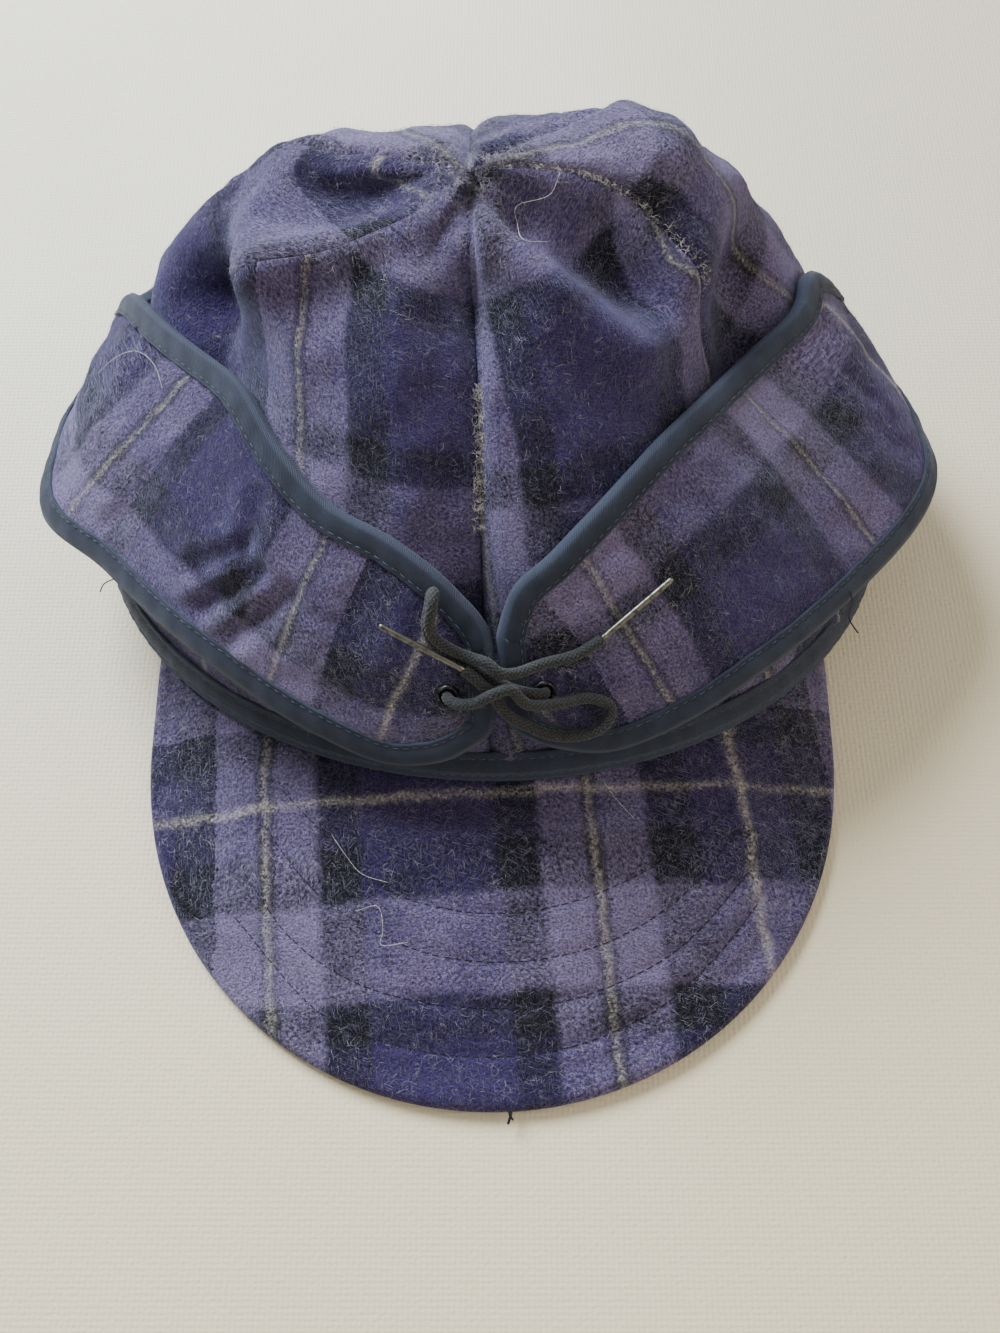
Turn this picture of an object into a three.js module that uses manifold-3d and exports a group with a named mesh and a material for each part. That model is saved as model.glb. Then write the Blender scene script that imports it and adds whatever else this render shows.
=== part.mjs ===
// A six-gore wool cap with a stitched visor and a laced earband, resting on its rim.
// Millimetres, +Z up. The front of the cap looks towards -Y and X runs to the wearer's left.
// A turn is an angle round the head from the front, a rise is an angle from rim to top.
import * as THREE from "three";
import Module from "manifold-3d";

const wasm = await Module();
wasm.setup();
const { Manifold, Mesh } = wasm;

// Driving sizes, in millimetres
const RIM_HALF_WIDTH = 105.5;
const RIM_FRONT_REACH = 93.5;
const RIM_BACK_REACH = 66;
const RIM_CENTRE_Y = 8;
const RIM_LIFT = 18.5;
const RIM_LIFT_END = 105;
const TOP_X = -5;
const TOP_Y = 22;
const TOP_Z = 104;
const TOP_HOLE = 2.4;
const TOP_LEVEL_LOW = 50;
const TOP_LEVEL_HIGH = 74;
const WOOL = 2;
const GAP = 0.3;
const SEAM_GAP = 0.7;
const BAND_WOOL = 2.4;
const TAPE_WIDTH = 5.2;
const TAPE = 0.6;
const BINDING_SLACK = 0.54;
const RIM_TAPE_HEIGHT = 8;
const VISOR_THICK = 4;
const VISOR_HALF_WIDTH = 85.2;
const VISOR_TIP_Y = -158;
const VISOR_SIDE_Y = -72;
const VISOR_CORNER_Y = -46;
const VISOR_SQUARENESS = 2.02;
const VISOR_TUCK = 6;
const LACE = 2.4;
const AGLET = 1.5;
const AGLET_LENGTH = 20.3;
const EYELET_RING = 2.15;
const EYELET_WIRE = 0.5;
const EYELET_HOLE = 3.6;

// The part's frame has its origin at the middle of the outline, on the surface it rests on.
const FRAME_X = 0.1;
const FRAME_Y = 37.7;

const DEGREE = Math.PI / 180;

// Each seam runs from a turn at the rim to a turn at the top, in degrees.
// Half way up it bulges to one side, as far as its bulge says.
const SEAMS = [
  { name: "back_left", low: -180, high: -180, bulge: 0 },
  { name: "side_left", low: -122, high: -126, bulge: 0 },
  { name: "front_left", low: -62, high: -55, bulge: -18 },
  { name: "front_right", low: 0, high: 0, bulge: 1 },
  { name: "side_right", low: 60, high: 96, bulge: 0 },
  { name: "back_right", low: 122, high: 140, bulge: 0 },
  { name: "end", low: 180, high: 180, bulge: 0 },
];
const BULGE_RISE = 55;
const BULGE_WIDTH = 11;

// Dents and ridges of the crown, each along a line from one place to another.
// Turn and rise in degrees, width and lift in millimetres. A dent has a negative lift.
const FOLDS = [
  { name: "front seam groove", turn: 0, rise: 26, toTurn: -2, toRise: 66, width: 9, lift: -6 },
  { name: "front groove top", turn: -2, rise: 66, toTurn: 0, toRise: 80, width: 10, lift: -3 },
  { name: "left lobe", turn: -50, rise: 50, toTurn: -76, toRise: 55, width: 13, lift: 5 },
  { name: "left lobe top", turn: -76, rise: 55, toTurn: -110, toRise: 63, width: 12, lift: 4 },
  { name: "left hollow", turn: -68, rise: 43, toTurn: -85, toRise: 48, width: 10, lift: -8 },
  { name: "left hollow top", turn: -90, rise: 50, toTurn: -108, toRise: 58, width: 11, lift: -6 },
  { name: "left dish", turn: -96, rise: 70, toTurn: -66, toRise: 76, width: 12, lift: -8 },
  { name: "left shoulder", turn: -74, rise: 59, toTurn: -54, toRise: 78, width: 7, lift: 4.5 },
  { name: "right crest", turn: 14, rise: 74, toTurn: 47, toRise: 54, width: 7, lift: 5 },
  { name: "right valley", turn: 48, rise: 74, toTurn: 62, toRise: 60, width: 8, lift: -6 },
  { name: "right ridge", turn: 58, rise: 52, toTurn: 76, toRise: 56, width: 10, lift: 5 },
  { name: "right ridge top", turn: 80, rise: 58, toTurn: 106, toRise: 65, width: 10, lift: 3 },
  { name: "right hollow", turn: 72, rise: 44, toTurn: 90, toRise: 50, width: 10, lift: -8 },
  { name: "right hollow top", turn: 94, rise: 52, toTurn: 112, toRise: 58, width: 7, lift: -3 },
  { name: "back right swell", turn: 138, rise: 64.5, toTurn: 149.5, toRise: 45.5, width: 14, lift: 1.1 },
  { name: "back right shoulder", turn: 121, rise: 67.5, toTurn: 112, toRise: 59.5, width: 11.3, lift: 7.8 },
  { name: "back left swell", turn: -135, rise: 73, toTurn: -126.5, toRise: 55, width: 10.3, lift: 0.6 },
  { name: "left band hollow", turn: -97, rise: 32, toTurn: -130, toRise: 20, width: 10, lift: -4.5 },
  { name: "right band hollow", turn: 97, rise: 34, toTurn: 130, toRise: 20, width: 10, lift: -4.5 },
  { name: "left brow", turn: -92.5, rise: 56, toTurn: -142.5, toRise: 45.5, width: 9.5, lift: 2.1 },
  { name: "right brow", turn: 93, rise: 55.5, toTurn: 138.5, toRise: 39.5, width: 9.5, lift: 4.4 },
  { name: "back seam groove", turn: 180, rise: 40, toTurn: 180, toRise: 78, width: 8, lift: -3 },
  { name: "back left dent", turn: -160, rise: 50, toTurn: -162, toRise: 66, width: 13, lift: -3 },
];
const SWELL_FADE_LOW = 48;
const SWELL_FADE_LOW_BEHIND = 29;
const SWELL_FADE = 8;

// The earband, a row for each section from its laced front end round to the back.
// Each row has the lower edge and the upper edge: turn, rise, and how far off the crown.
const BAND_LEFT = [
  { low: [0.9, 22, 5.8], high: [0.9, 29.6, 5.8] },
  { low: [0.2, 18.4, 5.8], high: [0, 31.8, 5.4] },
  { low: [-2.2, 15.8, 5.8], high: [-2.4, 34.1, 5] },
  { low: [-6.5, 12.8, 6], high: [-7.6, 37.3, 4.4] },
  { low: [-13, 11.6, 6.2], high: [-16, 40, 3.2] },
  { low: [-23, 15.6, 8], high: [-28, 41.7, 2.7] },
  { low: [-38, 20.2, 10], high: [-42, 44.9, 2.7] },
  { low: [-57, 21.7, 13], high: [-57, 47.2, 2.7] },
  { low: [-71, 19.9, 19.5], high: [-72, 45.8, 2.7] },
  { low: [-85, 18, 12.5], high: [-86, 42.2, 3] },
  { low: [-100, 14, 5.4], high: [-99, 36.4, 1.7] },
  { low: [-109, 11.3, 3.6], high: [-107.5, 28.5, 0.6] },
  { low: [-119, 9, 3], high: [-117, 23.5, 0.8] },
  { low: [-137, 8.2, 4.2], high: [-136, 21.8, 2.6] },
  { low: [-158, 8, 5], high: [-158, 22, 3.6] },
  { low: [-179.9, 8, 5], high: [-179.9, 22, 3.6] },
];
const BAND_RIGHT = [
  { low: [2.5, 22, 5.8], high: [2.5, 30.5, 5.8] },
  { low: [3.4, 19, 5.8], high: [3.8, 33.4, 5.4] },
  { low: [5.4, 17, 5.8], high: [6, 36, 5] },
  { low: [9.5, 14.8, 6], high: [11, 38.2, 4.4] },
  { low: [15.5, 13.2, 6.2], high: [19, 41.4, 3.2] },
  { low: [25.5, 15.8, 8], high: [30, 44.6, 2.7] },
  { low: [37, 18.9, 10], high: [42, 46.6, 2.7] },
  { low: [54, 20.4, 13], high: [57, 47, 2.7] },
  { low: [76, 18.9, 18], high: [75, 45.6, 2.7] },
  { low: [88, 17.4, 12], high: [89, 42.4, 3] },
  { low: [102, 14, 5.4], high: [100, 40.4, 1.7] },
  { low: [111, 11.3, 3.6], high: [108, 31, 0.6] },
  { low: [121, 9, 3], high: [118, 24.5, 0.8] },
  { low: [137, 8.2, 4.2], high: [136, 22, 2.6] },
  { low: [158, 8, 5], high: [158, 22, 3.6] },
  { low: [179.9, 8, 5], high: [179.9, 22, 3.6] },
];

// The lace lies on a plane that touches the meeting ends of the earband.
// Across, up the slope and out from the cloth, in millimetres from the knot.
const KNOT = new THREE.Vector3(0.3, -75.3, 46.4);
const KNOT_SLOPE = 48;
const LACE_ROUTE = [
  { at: "end by the left aglet", across: -6.1, up: 7, out: 5 },
  { at: "into the knot", across: -3.1, up: 4.4, out: 5 },
  { at: "under the wrap", across: 0.2, up: 0.5, out: 5 },
  { at: "right loop leaves", across: 3.4, up: -4.1, out: 3.9 },
  { at: "right loop lower side", across: 7.6, up: -7.2, out: 2.8 },
  { at: "right loop lower side", across: 13.9, up: -10.1, out: 1.8 },
  { at: "right loop lower side", across: 21.2, up: -10.1, out: 0.6 },
  { at: "right loop tip", across: 25.4, up: -7.8, out: -0.4 },
  { at: "right loop tip", across: 26, up: -4.2, out: -1 },
  { at: "right loop upper side", across: 21.4, up: -1.8, out: -0.2 },
  { at: "right loop upper side", across: 13.7, up: -1.9, out: 2.8 },
  { at: "right loop upper side", across: 7.5, up: -0.8, out: 5.5 },
  { at: "wrap rises", across: 3.6, up: 3.4, out: 7.4 },
  { at: "wrap", across: -0.1, up: 2.4, out: 7.9 },
  { at: "wrap falls", across: -4.2, up: -0.6, out: 5.6 },
  { at: "to the left eyelet", across: -7.8, up: -1.6, out: 3.4 },
  { at: "left eyelet", across: -9.8, up: -1.3, out: 1.4 },
  { at: "through the cloth", across: -9.9, up: -1.2, out: -0.8 },
  { at: "through the cloth", across: -9.6, up: -1.1, out: -2.8 },
  { at: "behind the band", across: -7.4, up: -0.9, out: -5 },
  { at: "behind the meeting", across: -3, up: -0.5, out: -5.2 },
  { at: "behind the meeting", across: 4.6, up: -0.2, out: -5.2 },
  { at: "behind the band", across: 8.8, up: -0.1, out: -5.2 },
  { at: "through the cloth", across: 11, up: -0.2, out: -3.2 },
  { at: "through the cloth", across: 11.4, up: -0.3, out: -1 },
  { at: "right eyelet", across: 11.2, up: -0.3, out: 1 },
  { at: "from the right eyelet", across: 9, up: 0.3, out: 2.3 },
  { at: "under the knot", across: 4.1, up: 1.6, out: 2.6 },
  { at: "under the knot", across: -0.6, up: 4.3, out: 2.5 },
  { at: "left loop leaves", across: -5.2, up: 6.7, out: 2.2 },
  { at: "left loop", across: -10, up: 9, out: 1.2 },
  { at: "left loop", across: -13.1, up: 11.9, out: 0.5 },
  { at: "left loop", across: -14.1, up: 15.7, out: 0.6 },
  { at: "left loop", across: -13.4, up: 20, out: 0.9 },
  { at: "left loop tip", across: -12.9, up: 22.8, out: 1.8 },
  { at: "left loop tip", across: -12.4, up: 23.9, out: 3.6 },
  { at: "left loop tip", across: -12.5, up: 22.9, out: 5.4 },
  { at: "left loop back", across: -12.9, up: 20.4, out: 6 },
  { at: "left loop back", across: -13.3, up: 17.4, out: 5.2 },
  { at: "left loop back", across: -12.2, up: 13.8, out: 3.9 },
  { at: "left loop back", across: -9.2, up: 11.3, out: 3.6 },
  { at: "left loop back", across: -4.9, up: 9.6, out: 4.2 },
  { at: "over the knot", across: -1.1, up: 8.8, out: 5.8 },
  { at: "over the knot", across: 1.4, up: 6.9, out: 6.3 },
  { at: "right end leaves", across: 4.6, up: 6, out: 4.6 },
  { at: "right end", across: 11.1, up: 7.1, out: 1.6 },
  { at: "right end", across: 18.4, up: 8.4, out: -0.6 },
  { at: "end by the right aglet", across: 23.6, up: 11.1, out: -2.3 },
];
const AGLETS = [
  { name: "aglet_left", across: -6.1, up: 7, out: 5, toAcross: -23.8, toUp: 15.5, toOut: 1.4 },
  { name: "aglet_right", across: 23.6, up: 11.1, out: -2.3, toAcross: 38.9, toUp: 23.3, toOut: -7 },
];

// Each eyelet's place on its half of the earband: along its rows, and across from low to high.
const EYELETS = [
  { name: "eyelet_left", along: 2.6, across: 0.428 },
  { name: "eyelet_right", along: 2.5, across: 0.367 },
];

// Mesh counts
const GORE_TURNS = 9;
const GORE_RISES = 13;
const BAND_STEPS_PER_ROW = 2;
const BAND_WIDTH_CELLS = 5;
const VISOR_STATIONS = 30;
const VISOR_CELLS = 10;
const RIM_TAPE_STATIONS = 52;
const LACE_STEPS = 80;
const LACE_SIDES = 8;

// Colours
const WOOL_COLOUR = 0x4a4468;
const TAPE_COLOUR = 0x434c5e;
const LACE_COLOUR = 0x34363a;
const STEEL_COLOUR = 0x9a9a94;
const DARK_STEEL_COLOUR = 0x3a3b40;

function smooth(from, to, value) {
  const t = Math.min(1, Math.max(0, (value - from) / (to - from)));
  return t * t * (3 - 2 * t);
}

function mix(a, b, t) {
  return a + (b - a) * t;
}

// The height of the rim: raised in front, where the visor carries it, and down at the back.
function rimZ(turn) {
  const away = Math.min(1, Math.abs(turn) / RIM_LIFT_END);
  return RIM_LIFT * Math.cos((away * Math.PI) / 2) ** 2;
}

function rimPlan(turn) {
  const across = Math.sin(turn * DEGREE);
  const along = Math.cos(turn * DEGREE);
  const reach = along > 0 ? RIM_FRONT_REACH : RIM_BACK_REACH;
  return [RIM_HALF_WIDTH * across, RIM_CENTRE_Y - reach * along];
}

// The front of the crown leans back from the rim, its sides and back stand up from it.
function lean(turn) {
  return mix(1.45, 1, smooth(60, 115, Math.abs(turn)));
}

function crownBase(turn, rise) {
  const power = lean(turn);
  const inward = Math.cos(rise * DEGREE) ** power;
  const up = Math.sin(Math.max(rise, 0) * DEGREE) ** power;
  const [rimX, rimY] = rimPlan(turn);
  const foot = rimZ(turn);
  return new THREE.Vector3(
    TOP_X * up + rimX * inward,
    RIM_CENTRE_Y + (TOP_Y - RIM_CENTRE_Y) * up + (rimY - RIM_CENTRE_Y) * inward,
    foot + (TOP_Z - foot) * up,
  );
}

function normalOf(surface, turn, rise) {
  const step = 0.25;
  const low = Math.max(rise - step, 0.01);
  const high = Math.min(rise + step, 89.9);
  const along = surface(turn + step, rise).sub(surface(turn - step, rise));
  const upward = surface(turn, high).sub(surface(turn, low));
  return along.cross(upward).normalize();
}

const foldLines = FOLDS.map((fold) => ({
  line: new THREE.Line3(crownBase(fold.turn, fold.rise), crownBase(fold.toTurn, fold.toRise)),
  width: fold.width,
  lift: fold.lift,
}));

// How far the folds move a place of the crown outwards. Swells fade out under the earband.
function foldLift(place, turn, rise) {
  const near = new THREE.Vector3();
  const behind = smooth(89, 105, Math.abs(turn));
  const fadeLow = mix(SWELL_FADE_LOW, SWELL_FADE_LOW_BEHIND, behind);
  const clear = smooth(fadeLow, fadeLow + SWELL_FADE, rise);
  let lift = 0;
  for (const fold of foldLines) {
    fold.line.closestPointToPoint(place, true, near);
    const share = Math.exp(-((near.distanceTo(place) / fold.width) ** 2));
    lift += fold.lift * share * (fold.lift > 0 ? clear : 1);
  }
  return lift;
}

function crown(turn, rise) {
  const place = crownBase(turn, rise);
  const lift = foldLift(place, turn, rise);
  return place.addScaledVector(normalOf(crownBase, turn, rise), lift);
}

// A place off the plain crown, for what is worn outside it.
function offCrown(turn, rise, off) {
  return crownBase(turn, rise).addScaledVector(normalOf(crownBase, turn, rise), off);
}

function geometryOf(vertices, triangles) {
  const geometry = new THREE.BufferGeometry();
  geometry.setAttribute("position", new THREE.Float32BufferAttribute(vertices, 3));
  geometry.setIndex(triangles);
  geometry.computeVertexNormals();
  return geometry;
}

// A closed wall between two grids of points: the outer one faces out, the inner one in.
// Both are lists of columns, and their first index turns to the right seen from outside.
function slab(outer, inner) {
  const columns = outer.length;
  const rows = outer[0].length;
  const vertices = [];
  const triangles = [];
  const place = (side, i, j) => side * columns * rows + i * rows + j;
  for (const grid of [outer, inner]) {
    for (const column of grid) {
      for (const point of column) vertices.push(point.x, point.y, point.z);
    }
  }
  const quad = (a, b, c, d) => triangles.push(a, b, c, a, c, d);
  for (let i = 0; i < columns - 1; i++) {
    for (let j = 0; j < rows - 1; j++) {
      quad(place(0, i, j), place(0, i + 1, j), place(0, i + 1, j + 1), place(0, i, j + 1));
      quad(place(1, i, j), place(1, i, j + 1), place(1, i + 1, j + 1), place(1, i + 1, j));
    }
    const last = rows - 1;
    quad(place(1, i, 0), place(1, i + 1, 0), place(0, i + 1, 0), place(0, i, 0));
    quad(place(0, i, last), place(0, i + 1, last), place(1, i + 1, last), place(1, i, last));
  }
  for (let j = 0; j < rows - 1; j++) {
    const last = columns - 1;
    quad(place(0, 0, j), place(0, 0, j + 1), place(1, 0, j + 1), place(1, 0, j));
    quad(place(0, last, j), place(1, last, j), place(1, last, j + 1), place(0, last, j + 1));
  }
  return geometryOf(vertices, triangles);
}

function columnsOf(count, cells, pointAt) {
  return Array.from({ length: count + 1 }, (_, i) =>
    Array.from({ length: cells + 1 }, (_, j) => pointAt(i / count, j / cells)),
  );
}

function seamTurn(seam, rise) {
  const bulge = seam.bulge * Math.exp(-(((rise - BULGE_RISE) / BULGE_WIDTH) ** 2));
  return mix(seam.low, seam.high, smooth(35, 80, rise)) + bulge;
}

// The rise at which the gores end, on a small circle round the top.
function topRise(turn) {
  return Math.acos((TOP_HOLE / RIM_HALF_WIDTH) ** (1 / lean(turn))) / DEGREE;
}

// The rise at which the crown is a given height above its rim.
function riseAt(turn, height) {
  const share = height / (TOP_Z - rimZ(turn));
  return Math.asin(share ** (1 / lean(turn))) / DEGREE;
}

function gore(from, to) {
  const spot = (across, upward) => {
    const guess = mix(from.low, to.low, across);
    const rise = upward ** 0.9 * topRise(guess);
    const left = seamTurn(from, rise);
    const right = seamTurn(to, rise);
    const perDegree = crownBase(left + 0.5, rise).distanceTo(crownBase(left - 0.5, rise));
    const trim = Math.min(SEAM_GAP / 2 / Math.max(perDegree, 1e-3), (right - left) / 4);
    return [mix(left + trim, right - trim, across), rise, mix(left, right, across)];
  };
  const outer = columnsOf(GORE_TURNS, GORE_RISES, (a, b) => crown(...spot(a, b)));
  const inner = columnsOf(GORE_TURNS, GORE_RISES, (a, b) => {
    const [turn, rise, untrimmed] = spot(a, b);
    const skin = crown(turn, rise);
    const level = smooth(TOP_LEVEL_LOW, TOP_LEVEL_HIGH, rise);
    const normal = normalOf(crown, untrimmed, rise).lerp(new THREE.Vector3(0, 0, 1), level);
    const place = skin.clone().addScaledVector(normal.normalize(), -WOOL);
    if (b === 0) place.z = skin.z;
    return place;
  });
  return slab(outer, inner);
}

function rimTape() {
  const at = (across, upward, off) => {
    const turn = mix(-179.9, 179.9, across);
    const rise = riseAt(turn, mix(GAP, RIM_TAPE_HEIGHT, upward));
    return offCrown(turn, rise, off);
  };
  const outer = columnsOf(RIM_TAPE_STATIONS, 2, (a, b) => at(a, b, GAP + TAPE));
  const inner = columnsOf(RIM_TAPE_STATIONS, 2, (a, b) => at(a, b, GAP));
  return slab(outer, inner);
}

// A smooth value between the rows of a table, by a Catmull-Rom spline.
function between(rows, at, read) {
  const i = Math.min(rows.length - 2, Math.max(0, Math.floor(at)));
  const t = at - i;
  const value = (k) => read(rows[Math.min(rows.length - 1, Math.max(0, k))]);
  const [a, b, c, d] = [value(i - 1), value(i), value(i + 1), value(i + 2)];
  const bend = 2 * a - 5 * b + 4 * c - d;
  const swing = 3 * b - a - 3 * c + d;
  return 0.5 * (2 * b + (c - a) * t + bend * t * t + swing * t * t * t);
}

// The middle surface of the earband: along runs over its rows, across from low to high edge.
function bandPlace(rows, along, across) {
  const [turn, rise, off] = [0, 1, 2].map((k) =>
    mix(
      between(rows, along, (row) => row.low[k]),
      between(rows, along, (row) => row.high[k]),
      across,
    ),
  );
  return offCrown(turn, rise, off);
}

function bandNormal(rows, along, across) {
  const step = 0.02;
  const last = rows.length - 1;
  const ahead = bandPlace(rows, Math.min(along + step, last), across);
  const behind = bandPlace(rows, Math.max(along - step, 0), across);
  const high = bandPlace(rows, along, Math.min(across + step, 1));
  const low = bandPlace(rows, along, Math.max(across - step, 0));
  const normal = ahead.sub(behind).cross(high.sub(low)).normalize();
  return rows[last].low[0] < 0 ? normal.negate() : normal;
}

function solidOf(geometry) {
  const triVerts = new Uint32Array(geometry.index.array);
  const vertProperties = new Float32Array(geometry.getAttribute("position").array);
  const made = new Mesh({ numProp: 3, vertProperties, triVerts });
  made.merge();
  return new Manifold(made);
}

function geometryFrom(solid) {
  const mesh = solid.getMesh();
  const vertices = [];
  for (let i = 0; i < mesh.numVert; i++) {
    const start = i * mesh.numProp;
    vertices.push(...mesh.vertProperties.slice(start, start + 3));
  }
  return geometryOf(vertices, Array.from(mesh.triVerts));
}

const slope = KNOT_SLOPE * DEGREE;
const ACROSS = new THREE.Vector3(1, 0, 0);
const UP = new THREE.Vector3(0, Math.cos(slope), Math.sin(slope));
const OUT = new THREE.Vector3(0, -Math.sin(slope), Math.cos(slope));

function lacePlace(across, up, out) {
  return KNOT.clone()
    .addScaledVector(ACROSS, across)
    .addScaledVector(UP, up)
    .addScaledVector(OUT, out);
}

// Turns a geometry from its own axis to the band's normal at an eyelet, and moves it there.
function setOn(geometry, axis, rows, eyelet, off) {
  const normal = bandNormal(rows, eyelet.along, eyelet.across);
  geometry.applyQuaternion(new THREE.Quaternion().setFromUnitVectors(axis, normal));
  const centre = bandPlace(rows, eyelet.along, eyelet.across).addScaledVector(normal, off);
  return geometry.translate(centre.x, centre.y, centre.z);
}

function band(rows, eyelet) {
  const cells = (rows.length - 1) * BAND_STEPS_PER_ROW;
  const last = rows.length - 1;
  const turnsRight = rows[last].low[0] > 0;
  const side = (off) => {
    const columns = columnsOf(cells, BAND_WIDTH_CELLS, (a, b) => {
      const normal = bandNormal(rows, a * last, b);
      return bandPlace(rows, a * last, b).addScaledVector(normal, off);
    });
    return turnsRight ? columns : columns.reverse();
  };
  const wall = solidOf(slab(side(BAND_WOOL / 2), side(-BAND_WOOL / 2)));
  const hole = new THREE.CylinderGeometry(EYELET_HOLE / 2, EYELET_HOLE / 2, 3 * BAND_WOOL, 16);
  setOn(hole, new THREE.Vector3(0, 1, 0), rows, eyelet, 0);
  return geometryFrom(wall.subtract(solidOf(hole)));
}

// The place on the band nearest to a point beside it, by Newton steps along its two ways.
function nearestOn(rows, start, goal) {
  const step = 0.02;
  const last = rows.length - 1;
  let [along, across] = start;
  for (let i = 0; i < 14; i++) {
    const ahead = along + step > last ? -step : step;
    const inward = across > 0.5 ? -step : step;
    const here = bandPlace(rows, along, across);
    const byAlong = bandPlace(rows, along + ahead, across).sub(here).divideScalar(ahead);
    const byAcross = bandPlace(rows, along, across + inward).sub(here).divideScalar(inward);
    const rest = goal.clone().sub(here);
    const [aa, ac, cc] = [byAlong.dot(byAlong), byAlong.dot(byAcross), byAcross.dot(byAcross)];
    const [a, c] = [byAlong.dot(rest), byAcross.dot(rest)];
    const scale = aa * cc - ac * ac;
    const alongStep = Math.min(0.5, Math.max(-0.5, (a * cc - c * ac) / scale));
    const acrossStep = Math.min(0.2, Math.max(-0.2, (c * aa - a * ac) / scale));
    along = Math.min(last, Math.max(0, along + alongStep));
    across = Math.min(1, Math.max(0, across + acrossStep));
  }
  return [along, across];
}

// The tape that is folded over the edge of one half of the earband.
function binding(rows) {
  const last = rows.length - 1;
  const turnsRight = rows[last].low[0] > 0;
  const steps = last * BAND_STEPS_PER_ROW;
  const stations = [];
  for (let i = steps; i >= 0; i--) stations.push([(i / steps) * last, 0]);
  for (let i = 1; i < 3; i++) stations.push([0, i / 3]);
  for (let i = 0; i <= steps; i++) stations.push([(i / steps) * last, 1]);
  const points = stations.map(([along, across]) => bandPlace(rows, along, across));
  const insides = stations.map(([along, across], i) => {
    const ahead = points[Math.min(i + 1, points.length - 1)];
    const behind = points[Math.max(i - 1, 0)];
    const run = ahead.clone().sub(behind).normalize();
    const inside = bandNormal(rows, along, across).cross(run).normalize();
    return turnsRight ? inside.negate() : inside;
  });
  const half = BAND_WOOL / 2 + BINDING_SLACK;
  const leg = (thick) => [
    [TAPE_WIDTH, half + thick],
    [TAPE_WIDTH / 2, half + thick],
    [0, half + thick],
    [-GAP - thick, half * 0.5],
    [-GAP - thick, -half * 0.5],
    [0, -half - thick],
    [TAPE_WIDTH / 2, -half - thick],
    [TAPE_WIDTH, -half - thick],
  ];
  const skin = (thick) => {
    const columns = stations.map(([along, across], i) =>
      leg(thick).map(([inward, off]) => {
        if (inward <= 0) {
          const normal = bandNormal(rows, along, across);
          return points[i].clone().addScaledVector(insides[i], inward).addScaledVector(normal, off);
        }
        const goal = points[i].clone().addScaledVector(insides[i], inward);
        const place = nearestOn(rows, [along, across], goal);
        return bandPlace(rows, ...place).addScaledVector(bandNormal(rows, ...place), off);
      }),
    );
    return turnsRight ? columns : columns.reverse();
  };
  return slab(skin(TAPE), skin(0));
}

// The visor: its inner edge is tucked under the rim, its outer edge comes down to the surface.
function visorOutline(share) {
  const sweep = share * 108;
  const angle = Math.min(90, Math.abs(sweep)) * DEGREE;
  const power = 2 / VISOR_SQUARENESS;
  const beyond = Math.max(0, (Math.abs(sweep) - 90) / 18);
  const reach = VISOR_SIDE_Y - VISOR_TIP_Y;
  return [
    Math.sign(share) * VISOR_HALF_WIDTH * Math.sin(angle) ** power,
    VISOR_SIDE_Y - reach * Math.cos(angle) ** power + beyond * (VISOR_CORNER_Y - VISOR_SIDE_Y),
  ];
}

function visorPlace(share, out) {
  const turn = share * 54;
  const [rimX, rimY] = rimPlan(turn);
  const span = Math.hypot(rimX, rimY - RIM_CENTRE_Y);
  const inset = 1 - VISOR_TUCK / span;
  const [edgeX, edgeY] = visorOutline(share);
  const edgeZ = mix(VISOR_THICK, VISOR_THICK + 3.5, smooth(0.72, 1, Math.abs(share)));
  const fall = Math.min(1, out / 0.9);
  const bow = 2.5 * Math.sin(Math.PI * fall) * (1 - share * share);
  return new THREE.Vector3(
    mix(rimX * inset, edgeX, out),
    mix(RIM_CENTRE_Y + (rimY - RIM_CENTRE_Y) * inset, edgeY, out),
    mix(rimZ(turn) - GAP, edgeZ, fall) + bow * smooth(0.12, 0.3, out),
  );
}

function visor() {
  const stations = VISOR_STATIONS;
  const top = columnsOf(stations, VISOR_CELLS, (a, b) => visorPlace(2 * a - 1, 1 - b));
  const bottom = top.map((column) =>
    column.map((point) => new THREE.Vector3(point.x, point.y, Math.max(0, point.z - VISOR_THICK))),
  );
  return slab(top, bottom);
}

function lace() {
  const route = new THREE.CatmullRomCurve3(
    LACE_ROUTE.map((stop) => lacePlace(stop.across, stop.up, stop.out)),
    false,
    "centripetal",
  );
  const section = new THREE.Shape();
  for (let i = 0; i < LACE_SIDES; i++) {
    const angle = (i / LACE_SIDES) * 2 * Math.PI;
    const [x, y] = [(LACE / 2) * Math.cos(angle), (LACE / 2) * Math.sin(angle)];
    if (i === 0) section.moveTo(x, y);
    else section.lineTo(x, y);
  }
  section.closePath();
  return new THREE.ExtrudeGeometry(section, { steps: LACE_STEPS, extrudePath: route });
}

function aglet(spec) {
  const from = lacePlace(spec.across, spec.up, spec.out);
  const run = lacePlace(spec.toAcross, spec.toUp, spec.toOut).sub(from).normalize();
  const geometry = new THREE.CylinderGeometry(AGLET / 2, AGLET / 2, AGLET_LENGTH, 12);
  geometry.applyQuaternion(
    new THREE.Quaternion().setFromUnitVectors(new THREE.Vector3(0, 1, 0), run),
  );
  const centre = from.addScaledVector(run, AGLET_LENGTH / 2 + GAP);
  return geometry.translate(centre.x, centre.y, centre.z);
}

function eyelet(rows, spec) {
  const geometry = new THREE.TorusGeometry(EYELET_RING, EYELET_WIRE, 6, 16);
  const off = BAND_WOOL / 2 + GAP + EYELET_WIRE;
  return setOn(geometry, new THREE.Vector3(0, 0, 1), rows, spec, off);
}

const part = new THREE.Group();
part.name = "wool_hunting_cap";
part.position.set(FRAME_X, FRAME_Y, 0);

function add(name, geometry, color, roughness, metalness = 0) {
  const material = new THREE.MeshStandardMaterial({ color, roughness, metalness });
  const mesh = new THREE.Mesh(geometry, material);
  mesh.name = name;
  part.add(mesh);
}

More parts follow.
